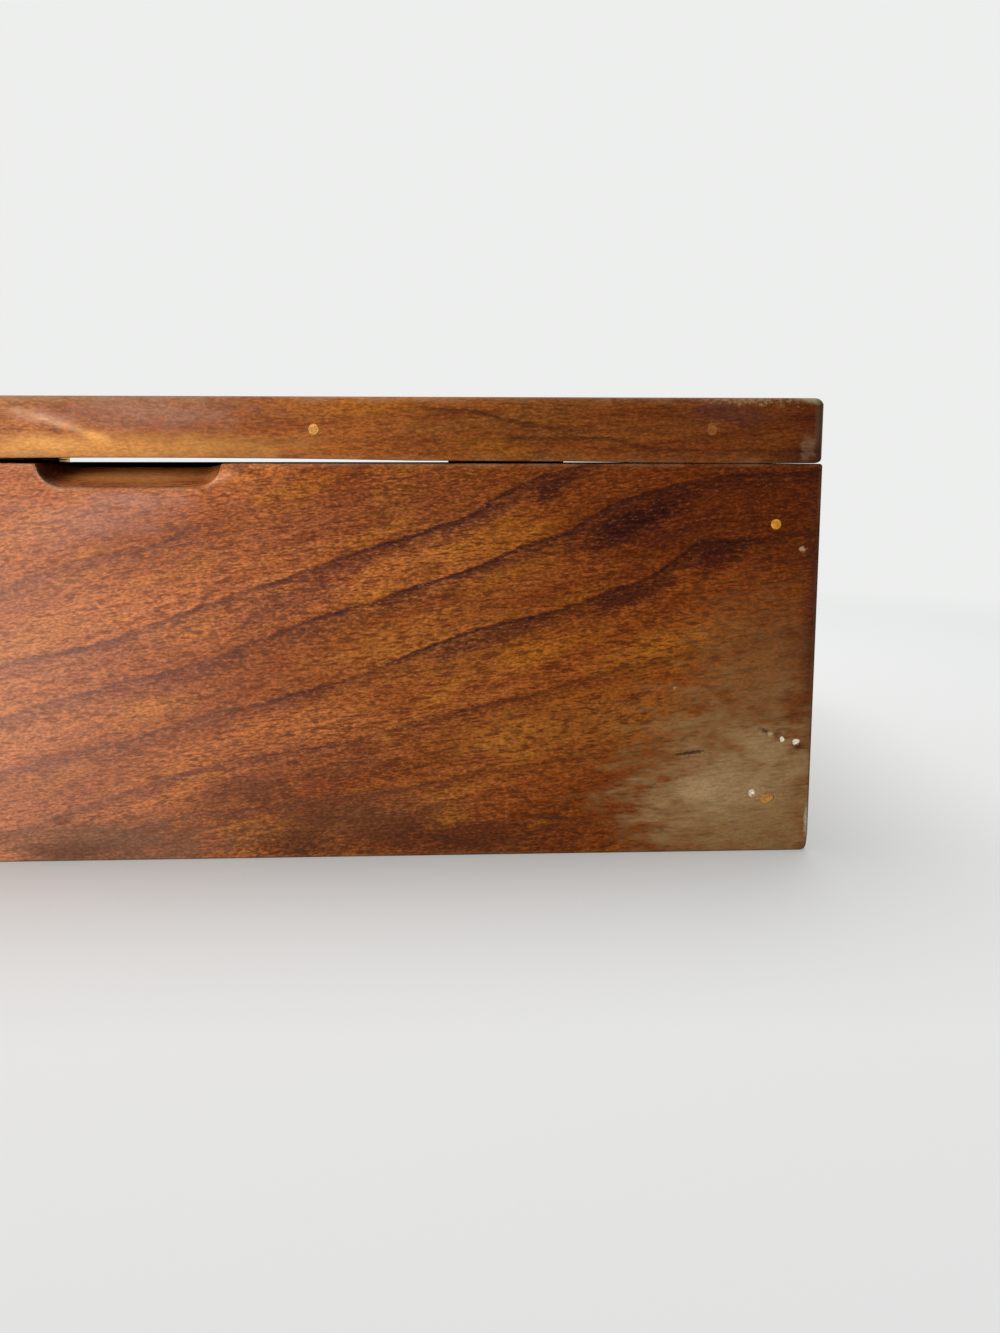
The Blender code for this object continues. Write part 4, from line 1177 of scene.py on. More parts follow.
@dataclass
class Board:
    """A board, lofted along its length with each arris rounded by its own radius.

    A cross-section's corners are low-low, low-high, high-high and high-low, as (across, up). ends are the rounding
    of the low and the high end, and soft says how much of it each side takes: across low and high, up low and high.
    """

    name: str
    low: Vector
    high: Vector
    way: Way = Way.X
    edges: tuple[float, float, float, float] = (SIZES.glued,) * 4
    ends: Point2 = (0.0, 0.0)
    soft: tuple[float, float, float, float] = (1.0, 1.0, 1.0, 1.0)
    step: float = 4 * MM
    close_along: tuple[tuple[float, float, float], ...] = ()
    close_up: tuple[tuple[float, float, float], ...] = ()
    arc_steps: int = 4
    beside: float = 0.6 * MM
    uneven: float = 0.07 * MM
    uneven_scale: float = 24
    closest: float = 0.05 * MM
    thinnest: float = 0.02 * MM

    def marks(self, low: float, high: float, zones: Sequence[tuple[float, float, float]]) -> list[float]:
        """Places between two ends: one step apart, and closer in the (from, to, step) zones."""
        places = [low, high]
        for start, end, step in ((low, high, self.step), *zones):
            start, end = max(start, low), min(end, high)
            count = max(round((end - start) / step), 1)
            places += [start + (end - start) * index / count for index in range(count + 1)]
        places.sort()
        kept = [places[0]]
        for place in places[1:]:
            if place - kept[-1] > self.closest:
                kept.append(place)
        return kept

    def stations(self) -> list[tuple[float, float, float]]:
        """The sections along the board as (place, inset, wear)."""
        axis = self.way.value
        low, high = self.low[axis], self.high[axis]
        sections = []
        for end, inward, radius in ((low, 1, self.ends[0]), (high, -1, self.ends[1])):
            rounded = [(end, radius + self.beside, 0.0)]
            for index in range(self.arc_steps + 1):
                t = index / self.arc_steps * QUARTER_TURN
                wear = 0.5 if index in (0, self.arc_steps) else 1.0
                rounded.append((end + inward * radius * (1 - math.cos(t)), radius * (1 - math.sin(t)), wear))
            if not radius:
                rounded = rounded[:1] + [(end, 0.0, 0.0)]
            rounded.append((end + inward * (radius + self.beside), 0.0, 0.0))
            sections.append(rounded if inward > 0 else rounded[::-1])
        start, stop = sections[0][-1][0], sections[1][0][0]
        middle = [(place, 0.0, 0.0) for place in self.marks(start, stop, self.close_along)[1:-1]]
        return sections[0] + middle + sections[1]

    def section(self, inset: float) -> list[tuple[float, float, float, Point2]]:
        """One cross-section.

        Args:
            inset: How far the sides lie inwards, because of the end's rounding.

        Returns:
            Its points as (across, up, wear, outward direction).
        """
        cross = 1 - self.way.value
        v0, v1 = self.low[cross] + inset * self.soft[0], self.high[cross] - inset * self.soft[1]
        w0, w1 = self.low.z + inset * self.soft[2], self.high.z - inset * self.soft[3]
        radii = [max(radius - inset, self.thinnest) for radius in self.edges]
        centres = (
            (v0 + radii[0], w0 + radii[0]),
            (v0 + radii[1], w1 - radii[1]),
            (v1 - radii[2], w1 - radii[2]),
            (v1 - radii[3], w0 + radii[3]),
        )
        starts = ((0, -1), (-1, 0), (0, 1), (1, 0))
        turns = ((-1, 0), (0, 1), (1, 0), (0, -1))
        widths = self.flat_marks(self.low[cross], self.high[cross], ())
        heights = self.flat_marks(self.low.z, self.high.z, self.close_up)
        points: list[tuple[float, float, float, Point2]] = []
        for corner in range(4):
            centre, radius, start, turn = centres[corner], radii[corner], starts[corner], turns[corner]
            for index in range(self.arc_steps + 1):
                t = index / self.arc_steps * QUARTER_TURN
                out = (start[0] * math.cos(t) + turn[0] * math.sin(t), start[1] * math.cos(t) + turn[1] * math.sin(t))
                wear = 0.5 if index in (0, self.arc_steps) else 1.0
                points.append((centre[0] + radius * out[0], centre[1] + radius * out[1], wear, out))
            after = (corner + 1) % 4
            if turn[0]:
                limits = sorted((centre[1], centres[after][1]))
                flat = [(points[-1][0], min(max(w, limits[0]), limits[1])) for w in heights]
            else:
                limits = sorted((centre[0], centres[after][0]))
                flat = [(min(max(v, limits[0]), limits[1]), points[-1][1]) for v in widths]
            if corner >= 2:
                flat.reverse()
            points += [(v, w, 0.0, turn) for v, w in flat]
        return points

    def flat_marks(self, low: float, high: float, zones: Sequence[tuple[float, float, float]]) -> list[float]:
        """Places across a flat side, clear of the widest rounding by the same margin at each end."""
        margin = max(self.edges) + self.beside
        return self.marks(low + margin, high - margin, zones)

    def settled(self, point: Vector, outward: Vector) -> Vector:
        """Where a point of the square board really lies: hand-planed faces are a little hollow in places."""
        wave = HALF + HALF * noise.noise(point * self.uneven_scale)
        return point - outward * (self.uneven * wave)

    def build(self) -> bpy.types.Object:
        """Lofts the board."""
        bm = bmesh.new()
        layer = bm.verts.layers.float.new("arris")
        axis = self.way.value
        rings = []
        for place, inset, end_wear in self.stations():
            ring = []
            for across, up, wear, out in self.section(inset):
                point, outward = Vector((0, 0, up)), Vector((0, 0, out[1]))
                point[axis], point[1 - axis] = place, across
                outward[1 - axis] = out[0]
                vert = bm.verts.new(self.settled(point, outward))
                vert[layer] = max(wear, end_wear) if inset <= self.ends[0] + self.ends[1] else 0.0
                ring.append(vert)
            rings.append(ring)
        for first, second in zip(rings, rings[1:]):
            for index in range(len(first)):
                after = (index + 1) % len(first)
                bm.faces.new((first[index], first[after], second[after], second[index]))
        bm.faces.new(reversed(rings[0]))
        bm.faces.new(rings[-1])
        return new_piece(self.name, closed_mesh(self.name, bm))


@dataclass
class ScoopedBoard(Board):
    """The front board: its top edge drops in the finger scoop, and its face is dented by wear."""

    floor_half: float = 19 * MM
    end_radius: float = 7.5 * MM
    deep_front: float = 7.2 * MM
    deep_inside: float = 0.9 * MM
    soft_lip: float = 1.2 * MM
    reach: float = 26 * MM
    pits: tuple[Pit, ...] = ()
    chip_size: float = 2.6 * MM
    chip_depth: float = 0.55
    chip_ragged: float = 0.35
    chip_scale: float = 900
    chip_up: float = 0.4

    def drop(self, x: float, y: float) -> float:
        """How far the top edge drops at a place."""
        share = (y - self.low.y) / (self.high.y - self.low.y)
        deep = self.deep_front + (self.deep_inside - self.deep_front) * share
        aside = max(abs(x) - self.floor_half, 0.0)
        if aside >= self.end_radius:
            rise = self.end_radius + 2 * (aside - self.end_radius)
        else:
            rise = self.end_radius - math.sqrt(self.end_radius**2 - aside**2)
        left = deep - rise
        return 0.5 * (left + math.sqrt(left * left + self.soft_lip**2)) - 0.02 * self.soft_lip

    def settled(self, point: Vector, outward: Vector) -> Vector:
        """The scoop, the dents and the worn lower corner."""
        moved = super().settled(point, outward)
        if outward.y < -0.5:
            for pit in self.pits:
                moved.y += pit.sunk(point.x, point.z)
        share = max(1 - (self.high.z - point.z) / self.reach, 0.0)
        if share and abs(point.x) < 2 * self.floor_half:
            moved.z -= share * max(self.drop(point.x, point.y), 0.0)
        corner = self.chip_size - (self.high.x - point.x) - point.z - HALF * (point.y - self.low.y)
        if corner > 0:
            chip = corner * (self.chip_depth + self.chip_ragged * noise.noise(point * self.chip_scale))
            moved.x -= (1 - self.chip_up) * chip
            moved.z += self.chip_up * chip
        return moved


@dataclass
class LidBoard(Board):
    """A piece of the lid, hollowed a little beneath, and more over the scoop."""

    broad_rise: float = 0.6 * MM
    broad_share: float = 0.80
    scoop_rise: float = 0.65 * MM
    scoop_share: float = 0.40
    sag: float = 0.24 * MM
    sag_from_share: float = 0.62
    sag_reach: float = 150 * MM

    def settled(self, point: Vector, outward: Vector) -> Vector:
        """The hollow beneath, and the ends' sag onto the body near the front."""
        moved = super().settled(point, outward)
        half = LAYOUT.lid_half_width
        broad = self.broad_rise * (1 - (point.x / (self.broad_share * half)) ** 2)
        local = self.scoop_rise * (1 - (point.x / (self.scoop_share * half)) ** 2)
        rise = max(broad, 0.0) + max(local, 0.0)
        share = max(1 - 2 * (point.z - self.low.z) / SIZES.lid_thickness, 0.0)
        moved.z += rise * share
        aside = max(abs(point.x) / half - self.sag_from_share, 0.0) / (1 - self.sag_from_share)
        near = max(1 - (point.y - LAYOUT.lid_front) / self.sag_reach, 0.0)
        moved.z -= self.sag * min(2 * aside, 1.0) * min(1.5 * near, 1.0) * share
        return moved


# Solids that repeat, by Geometry Nodes


class TurnedShop(Nodes):
    """A Geometry Nodes tree that puts one turned solid on each point of a mesh, with named inputs for its sizes."""

    def __init__(self, name: str, sizes: dict[str, float]) -> None:
        """Starts a tree.

        Args:
            name: The tree's name.
            sizes: The name and value of each size.
        """
        super().__init__(bpy.data.node_groups.new(name, "GeometryNodeTree"))
        face = self.tree.interface
        face.new_socket("Geometry", in_out="INPUT", socket_type="NodeSocketGeometry")
        for size in sizes:
            face.new_socket(size, in_out="INPUT", socket_type="NodeSocketFloat")
        face.new_socket("Finish", in_out="INPUT", socket_type="NodeSocketMaterial")
        face.new_socket("Geometry", in_out="OUTPUT", socket_type="NodeSocketGeometry")
        self.given = self.node("NodeGroupInput")
        self.sizes = sizes

    def size(self, name: str) -> Socket:
        """The tree's input of that name."""
        return self.given.outputs[name]

    def pick(self, values: Sequence[object]) -> Socket:
        """The value that belongs to each point's index."""
        made = self.node("GeometryNodeIndexSwitch", data_type="FLOAT")
        while len(made.index_switch_items) < len(values):
            made.index_switch_items.new()
        self.feed(made.inputs[0], self.node("GeometryNodeInputIndex").outputs[0])
        for index, value in enumerate(values):
            self.feed(made.inputs[index + 1], value)
        return made.outputs[0]

    def turned(self, stations: Sequence[tuple[object, object]], sides: int) -> Socket:
        """A solid turned about Z.

        Args:
            stations: The (radius, height) of each ring, from one end to the other.
            sides: The number of sides.

        Returns:
            Its mesh.
        """
        line = self.node("GeometryNodeMeshLine")
        self.feed(line.inputs["Count"], len(stations))
        put = self.node("GeometryNodeSetPosition")
        self.feed(put.inputs["Geometry"], line.outputs[0])
        self.feed(put.inputs["Position"], self.triple(z=self.pick([height for _, height in stations])))
        path = self.node("GeometryNodeMeshToCurve")
        self.feed(path.inputs["Mesh"], put.outputs[0])
        ring = self.node("GeometryNodeCurvePrimitiveCircle", mode="RADIUS")
        self.feed(ring.inputs["Resolution"], sides)
        self.feed(ring.inputs["Radius"], 1.0)
        sweep = self.node("GeometryNodeCurveToMesh")
        self.feed(sweep.inputs["Curve"], path.outputs[0])
        self.feed(sweep.inputs["Profile Curve"], ring.outputs[0])
        self.feed(sweep.inputs["Scale"], self.pick([radius for radius, _ in stations]))
        self.feed(sweep.inputs["Fill Caps"], True)
        return sweep.outputs[0]

    def slotted(self, solid: Socket, across: Socket, width: Socket, depth: Socket) -> Socket:
        """A solid with a slot cut across its top."""
        bar = self.node("GeometryNodeMeshCube")
        long = self.math("MULTIPLY", across, 3.0)
        self.feed(bar.inputs["Size"], self.triple(long, width, self.math("MULTIPLY", depth, 2.0)))
        cut = self.node("GeometryNodeMeshBoolean", operation="DIFFERENCE", solver="EXACT")
        self.feed(cut.inputs["Mesh 1"], solid)
        self.feed(cut.inputs["Mesh 2"], bar.outputs[0])
        return cut.outputs[0]

    def attribute(self, name: str) -> Socket:
        """A vector that each point carries."""
        made = self.node("GeometryNodeInputNamedAttribute", data_type="FLOAT_VECTOR")
        self.feed(made.inputs["Name"], name)
        return made.outputs[0]

    def spun(self, turn: Socket, most: float, seed: int) -> Socket:
        """Each point's turn, with a random turn about the solid's own axis before it."""
        chance = self.node("FunctionNodeRandomValue", data_type="FLOAT")
        for socket in chance.inputs:
            if socket.enabled and socket.name == "Min":
                self.feed(socket, -most)
            elif socket.enabled and socket.name == "Max":
                self.feed(socket, most)
            elif socket.name == "Seed":
                self.feed(socket, seed)
        value = next(socket for socket in chance.outputs if socket.enabled)
        first = self.node("FunctionNodeEulerToRotation")
        self.feed(first.inputs[0], turn)
        both = self.node("FunctionNodeRotateRotation", rotation_space="LOCAL")
        self.feed(both.inputs[0], first.outputs[0])
        own = self.node("FunctionNodeEulerToRotation")
        self.feed(own.inputs[0], self.triple(z=value))
        self.feed(both.inputs[1], own.outputs[0])
        return both.outputs[0]

    def end(self, solid: Socket, spin: float, seed: int) -> None:
        """Puts the solid on every point, with each point's turn and stretch, and ends the tree."""
        spread = self.node("GeometryNodeInstanceOnPoints")
        self.feed(spread.inputs["Points"], self.given.outputs["Geometry"])
        self.feed(spread.inputs["Instance"], solid)
        self.feed(spread.inputs["Rotation"], self.spun(self.attribute("turn"), spin, seed))
        self.feed(spread.inputs["Scale"], self.attribute("stretch"))
        real = self.node("GeometryNodeRealizeInstances")
        self.feed(real.inputs[0], spread.outputs[0])
        dressed = self.node("GeometryNodeSetMaterial")
        self.feed(dressed.inputs["Geometry"], real.outputs[0])
        self.feed(dressed.inputs["Material"], self.size("Finish"))
        out = self.node("NodeGroupOutput")
        self.feed(out.inputs[0], dressed.outputs[0])

    def spread_on(self, name: str, points: Sequence["Spot"], finish: bpy.types.Material) -> bpy.types.Object:
        """The solids on some points, as one plain mesh.

        Args:
            name: The object's name.
            points: Where the solids go.
            finish: Their material.

        Returns:
            The object, at the origin.
        """
        mesh = bpy.data.meshes.new(name)
        mesh.from_pydata([spot.place for spot in points], [], [])
        turns = mesh.attributes.new("turn", "FLOAT_VECTOR", "POINT")
        turns.data.foreach_set("vector", [part for spot in points for part in spot.turn])
        stretches = mesh.attributes.new("stretch", "FLOAT_VECTOR", "POINT")
        stretches.data.foreach_set("vector", [part for spot in points for part in spot.stretch])
        tints = mesh.attributes.new("tint", "FLOAT_COLOR", "POINT")
        tints.data.foreach_set("color", [part for spot in points for part in (*spot.tint, 1.0)])
        piece = new_piece(name, mesh)
        modifier = piece.modifiers.new("made", "NODES")
        modifier.node_group = self.tree
        given = {**self.sizes, "Finish": finish}
        for item in self.tree.interface.items_tree:
            if item.in_out == "INPUT" and item.name in given:
                modifier[item.identifier] = given[item.name]
        frozen(piece)
        return piece


@dataclass(frozen=True)
class Spot:
    """Where one repeated solid goes: its place, its turn as Euler angles, its stretch and its tint."""

    place: tuple[float, float, float]
    turn: tuple[float, float, float] = (0.0, 0.0, 0.0)
    stretch: tuple[float, float, float] = (1.0, 1.0, 1.0)
    tint: Colour = (0.42, 0.22, 0.075)


# Sub-assemblies


@dataclass
class Joinery:
    """Tools for the holes, sockets, grooves and gains that hold the pieces together."""

    clearance: float = 0.05 * MM

    def peg_hole(self, x: float, z: float, start: float, end: float) -> bpy.types.Object:
        """A tool for a peg's hole between two places along Y."""
        return rod("peg_hole", SIZES.peg_radius + self.clearance, Vector((x, start, z)), Vector((x, end, z)))

    def oval_hole(self, spot: Spot, length: float) -> bpy.types.Object:
        """A tool for the hole of a stretched peg that starts on the front face."""
        radius = SIZES.peg_radius + self.clearance
        turn = Matrix.Rotation(spot.turn[1], 4, "Y") @ Matrix.Rotation(spot.turn[0], 4, "X")
        start = Matrix.Translation(Vector(spot.place))
        wide = Matrix.Diagonal((*spot.stretch, 1.0))
        return lathe("oval_hole", [(-CUT_PAST, radius), (length, radius)], start @ turn @ wide)

    def groove(self, low: Sequence[float], high: Sequence[float]) -> bpy.types.Object:
        """A tool for the bottom panel's groove between two corners that lie in its plane."""
        bottom = SIZES.panel_low - self.clearance
        top = SIZES.panel_low + SIZES.panel_thickness + self.clearance
        return block("groove", (*low, bottom), (*high, top))

    def hinge_seats(self, below: bool) -> list[bpy.types.Object]:
        """Tools for both hinges' gains and pilot holes, in the back board or in the lid's back rail."""
        tools = []
        deep = SIZES.leaf_thickness - SIZES.leaf_proud + self.clearance
        wood = LAYOUT.top if below else LAYOUT.lid_under
        down = -1 if below else 1
        heights = sorted((wood + down * deep, wood - down * CUT_PAST))
        for _, hinge_x in LAYOUT.hinge_xs():
            reach = SIZES.leaf_length / 2 + self.clearance
            low = (hinge_x - reach, LAYOUT.back - SIZES.leaf_width - self.clearance, heights[0])
            tools.append(block("gain", low, (hinge_x + reach, LAYOUT.back + CUT_PAST, heights[1])))
            for x, y in LAYOUT.screw_places(hinge_x):
                start = Vector((x, y, wood))
                end = Vector((x, y, wood + down * SIZES.screw_length))
                tools.append(rod("pilot", SIZES.screw_shank + self.clearance, start, end, sides=24))
        return tools


@dataclass
class Pegs:
    """The pegs, cut from dowel and driven flush: two at each corner, four through each lid rail."""

    ease: float = 0.12 * MM
    sides: int = 32
    set_back: float = 0.03 * MM
    honey: Colour = (0.620, 0.270, 0.030)
    tan: Colour = (0.470, 0.225, 0.055)
    brown: Colour = (0.215, 0.074, 0.018)
    oval_stretch: tuple[float, float, float] = (1.38, 1.0, 1.0)
    oval_rise: float = -14.0

    def shop(self, name: str, length: float) -> TurnedShop:
        """The tree that makes one length of peg."""
        shop = TurnedShop(name, {"Radius": SIZES.peg_radius, "Length": length, "Ease": self.ease})
        narrow = shop.math("SUBTRACT", shop.size("Radius"), shop.size("Ease"))
        far = shop.math("SUBTRACT", shop.size("Length"), shop.size("Ease"))
        stations = (
            (narrow, 0.0),
            (shop.size("Radius"), shop.size("Ease")),
            (shop.size("Radius"), far),
            (narrow, shop.size("Length")),
        )
        shop.end(shop.turned(stations, self.sides), 0.0, 1)
        return shop

    def spots(self, places: Sequence[Point2], front: float, back: float, tints: Sequence[Colour]) -> list[Spot]:
        """The pegs' places in the front and in the back face."""
        spots = []
        for index, (x, z) in enumerate(places):
            tint = tints[index % len(tints)]
            spots.append(Spot((x, front, z), turn=(-QUARTER_TURN, 0, 0), tint=tint))
            spots.append(Spot((x, back, z), turn=(QUARTER_TURN, 0, 0), tint=tints[(index + 1) % len(tints)]))
        return spots

    def corner_spots(self) -> list[Spot]:
        """The corner pegs. The front's lower right one was cut across its grain and shows as an oval."""
        tints = (self.tan, self.brown, self.honey, self.tan)
        spots = self.spots(LAYOUT.corner_pegs(), LAYOUT.front + self.set_back, LAYOUT.back - self.set_back, tints)
        return [self.as_oval(spot) if self.is_oval(spot) else spot for spot in spots]

    def is_oval(self, spot: Spot) -> bool:
        """Whether a spot is the front's lower right one."""
        return spot.place[0] > 0 and spot.place[1] < 0 and spot.place[2] < LAYOUT.top / 2

    def as_oval(self, spot: Spot) -> Spot:
        """A spot whose peg is stretched and turned in its hole."""
        turn = (spot.turn[0], math.radians(self.oval_rise), 0.0)
        return Spot(spot.place, turn, self.oval_stretch, self.tan)

    def make(self, finish: bpy.types.Material) -> None:
        """Makes the corner pegs and the lid pegs."""
        corner = self.shop("corner_peg", SIZES.corner_peg_length)
        piece = corner.spread_on("corner_pegs", self.corner_spots(), finish)
        names = [
            f"corner_peg_{face}_{side}_{level}"
            for face in ("front", "back")
            for side in ("left", "right")
            for level in ("upper", "lower")
        ]
        finished(piece, Body.BOX, finish, names)
        lid = self.shop("lid_peg", SIZES.lid_peg_length)
        tints = (self.brown, self.tan, self.tan, self.brown)
        spots = self.spots(LAYOUT.lid_pegs(), LAYOUT.lid_front + self.set_back, LAYOUT.back - self.set_back, tints)
        piece = lid.spread_on("lid_pegs", spots, finish)
        names = [f"lid_peg_{face}_{number}" for face in ("front", "back") for number in (1, 2, 3, 4)]
        finished(piece, Body.LID, finish, names)


FRONT_PITS = (
    Pit((167, 31.8), (6.4, 0.55), 0.35, 8.7),
    Pit((189.4, 39.0), (1.6, 1.3), 0.4),
    Pit((191.9, 37.4), (1.3, 1.0), 0.2),
    Pit((195.6, 35.8), (1.4, 1.0), 0.2),
    Pit((200.2, 35.0), (1.7, 1.5), 0.35),
    Pit((186.8, 18.7), (1.6, 2.0), 0.35),
    Pit((124, 11.7), (11, 1.8), 0.25, -5),
    Pit((172, 50), (2.6, 1.4), 0.15, 20),
    Pit((155, 24), (2.8, 1.6), 0.18, -30),
)

LIP = 24 * MM
SCOOP_AND_DENTS_ALONG = (
    (-1.4 * LIP, 1.4 * LIP, 1.6 * MM),
    (-1.16 * LIP, -0.7 * LIP, 0.35 * MM),
    (0.7 * LIP, 1.16 * LIP, 0.35 * MM),
    (158 * MM, 205 * MM, 0.7 * MM),
)
DENTS_UP = ((8 * MM, 42 * MM, 0.8 * MM), (29.8 * MM, 34 * MM, 0.25 * MM))


@dataclass
class BoxBody:
    """The body: four boards pegged at the corners, round a bottom panel in grooves."""

    pegs: Pegs
    joinery: Joinery = field(default_factory=Joinery)
    soft_inside: float = 0.15

    def make(self, show: bpy.types.Material, plain: bpy.types.Material, sides: bpy.types.Material,
             panel: bpy.types.Material) -> None:
        """Makes the body's boards.

        Args:
            show: The finish of the front board.
            plain: The finish of the back board.
            sides: The finish of the side boards.
            panel: The finish of the bottom panel.
        """
        self.end_board("front_board", show)
        self.end_board("back_board", plain)
        self.side_board("left", -1, sides)
        self.side_board("right", 1, sides)
        self.bottom_panel(panel)

    def end_board(self, name: str, finish: bpy.types.Material) -> None:
        """Makes the front or the back board, which run the whole width."""
        front = name == "front_board"
        low_y, high_y = (LAYOUT.front, LAYOUT.inner_front) if front else (LAYOUT.inner_back, LAYOUT.back)
        low = Vector((-LAYOUT.half_width, low_y, 0))
        high = Vector((LAYOUT.half_width, high_y, LAYOUT.top))
        outer, inner = SIZES.body_round, SIZES.glued
        name_of, ends = f"{name}_walnut", (outer, outer)
        if front:
            edges, soft = (outer, outer, 2 * inner, inner), (1, self.soft_inside, 1, 1)
            board: Board = ScoopedBoard(
                name_of, low, high, edges=edges, soft=soft, ends=ends, pits=FRONT_PITS,
                close_along=SCOOP_AND_DENTS_ALONG, close_up=DENTS_UP,
            )
        else:
            edges, soft = (inner, 2 * inner, outer, outer), (self.soft_inside, 1, 1, 1)
            board = Board(name_of, low, high, edges=edges, soft=soft, ends=ends)
        piece = board.build()
        groove_x = LAYOUT.inside + SIZES.groove_depth
        if front:
            groove_ys = (high_y - SIZES.groove_depth, high_y + CUT_PAST)
        else:
            groove_ys = (low_y - CUT_PAST, low_y + SIZES.groove_depth)
        tools = [self.joinery.groove((-groove_x, groove_ys[0]), (groove_x, groove_ys[1]))]
        ovals = [spot for spot in self.pegs.corner_spots() if front and self.pegs.is_oval(spot)]
        for x, z in LAYOUT.corner_pegs():
            if not any(spot.place[0] == x and spot.place[2] == z for spot in ovals):
                tools.append(self.joinery.peg_hole(x, z, low_y - CUT_PAST, high_y + CUT_PAST))
        tools += [self.joinery.oval_hole(spot, SIZES.board + CUT_PAST) for spot in ovals]
        if not front:
            tools += self.joinery.hinge_seats(below=True)
        carved(piece, tools)
        finished(piece, Body.BOX, finish, [name])

    def side_board(self, side: str, sign: int, finish: bpy.types.Material) -> None:
        """Makes a side board between the front and the back board."""
        xs = sorted((sign * LAYOUT.half_width, sign * LAYOUT.inside))
        low = Vector((xs[0], LAYOUT.inner_front + SIZES.joint, 0))
        high = Vector((xs[1], LAYOUT.inner_back - SIZES.joint, LAYOUT.top))
        outer, inner = SIZES.body_round, SIZES.glued
        edges = (inner, 2 * inner, outer, outer) if sign > 0 else (outer, outer, 2 * inner, inner)
        piece = Board(f"{side}_side_board_walnut", low, high, way=Way.Y, edges=edges).build()
        grooves = sorted((sign * (LAYOUT.inside - CUT_PAST), sign * (LAYOUT.inside + SIZES.groove_depth)))
        tools = [self.joinery.groove((grooves[0], low.y - CUT_PAST), (grooves[1], high.y + CUT_PAST))]
        for spot in self.pegs.corner_spots():
            x, y, z = spot.place
            if x * sign < 0:
                continue
            if self.pegs.is_oval(spot):
                tools.append(self.joinery.oval_hole(spot, SIZES.corner_peg_length + 0.1 * MM))
                continue
            reach = math.copysign(SIZES.corner_peg_length, -y)
            tools.append(self.joinery.peg_hole(x, z, y, y + reach))
        carved(piece, tools)
        finished(piece, Body.BOX, finish, [f"{side}_side_board"])

    def bottom_panel(self, finish: bpy.types.Material) -> None:
        """Makes the panel that floats in the grooves."""
        reach = SIZES.groove_depth - 0.3 * MM
        low = Vector((-LAYOUT.inside - reach, LAYOUT.inner_front - reach, SIZES.panel_low))
        high = Vector((LAYOUT.inside + reach, LAYOUT.inner_back + reach, SIZES.panel_low + SIZES.panel_thickness))
        piece = Board("bottom_panel_plain", low, high, step=10 * MM, uneven=0.02 * MM).build()
        finished(piece, Body.BOX, finish, ["bottom_panel"])


@dataclass
class Lid:
    """The lid: a rail along the front, one along the back, and three boards between them."""

    board_names: tuple[str, ...] = ("left", "middle", "right")
    joinery: Joinery = field(default_factory=Joinery)

    def make(self, show: bpy.types.Material, plain: bpy.types.Material,
             boards: Sequence[bpy.types.Material]) -> None:
        """Makes the lid's wood.

        Args:
            show: The finish of the front rail.
            plain: The finish of the back rail.
            boards: The finishes of the three boards.
        """
        self.rail("front", show)
        self.rail("back", plain)
        for index, board_name in enumerate(self.board_names):
            self.board(index, board_name, boards[index])

    def rail(self, place: str, finish: bpy.types.Material) -> None:
        """Makes the front or the back rail."""
        front = place == "front"
        ys = (LAYOUT.lid_front, LAYOUT.lid_front + SIZES.rail_width) if front else (
            LAYOUT.back - SIZES.rail_width, LAYOUT.back)
        low = Vector((-LAYOUT.lid_half_width, ys[0], LAYOUT.lid_under))
        high = Vector((LAYOUT.lid_half_width, ys[1], LAYOUT.lid_top))
        under, top, glued = SIZES.lid_under_round, SIZES.lid_top_round, SIZES.glued
        edges = (under, top, glued, glued) if front else (glued, glued, top, under)
        end = SIZES.lid_end_round
        under_share = SIZES.lid_end_under_round / end
        soft = (1, 0.05, under_share, 1) if front else (0.05, 1, under_share, 1)
        name = f"lid_{place}_rail"
        piece = LidBoard(f"{name}_walnut", low, high, edges=edges, ends=(end, end), soft=soft, step=3 * MM).build()
        tools = [self.joinery.peg_hole(x, z, ys[0] - CUT_PAST, ys[1] + CUT_PAST) for x, z in LAYOUT.lid_pegs()]
        if not front:
            tools += self.joinery.hinge_seats(below=False)
        carved(piece, tools)
        finished(piece, Body.LID, finish, [name])

    def board(self, index: int, board_name: str, finish: bpy.types.Material) -> None:
        """Makes one of the boards between the rails."""
        width = 2 * LAYOUT.lid_half_width / len(self.board_names)
        first, last = index == 0, index == len(self.board_names) - 1
        low_x = -LAYOUT.lid_half_width + index * width + (0 if first else SIZES.joint / 2)
        high_x = -LAYOUT.lid_half_width + (index + 1) * width - (0 if last else SIZES.joint / 2)
        low = Vector((low_x, LAYOUT.lid_front + SIZES.rail_width + SIZES.joint, LAYOUT.lid_under))
        high = Vector((high_x, LAYOUT.back - SIZES.rail_width - SIZES.joint, LAYOUT.lid_top))
        under, top, glued = SIZES.lid_end_under_round, SIZES.lid_end_round, SIZES.glued
        edges = (
            under if first else glued,
            top if first else glued,
            top if last else glued,
            under if last else glued,
        )
        name = f"lid_board_{board_name}"
        piece = LidBoard(f"{name}_walnut", low, high, way=Way.Y, edges=edges, step=5 * MM).build()
        tools = []
        for x, z in LAYOUT.lid_pegs():
            if low_x < x < high_x:
                ends = (LAYOUT.lid_front + SIZES.lid_peg_length, LAYOUT.back - SIZES.lid_peg_length)
                tools.append(self.joinery.peg_hole(x, z, LAYOUT.lid_front, ends[0]))
                tools.append(self.joinery.peg_hole(x, z, ends[1], LAYOUT.back))
        if tools:
            carved(piece, tools)
        finished(piece, Body.LID, finish, [name])


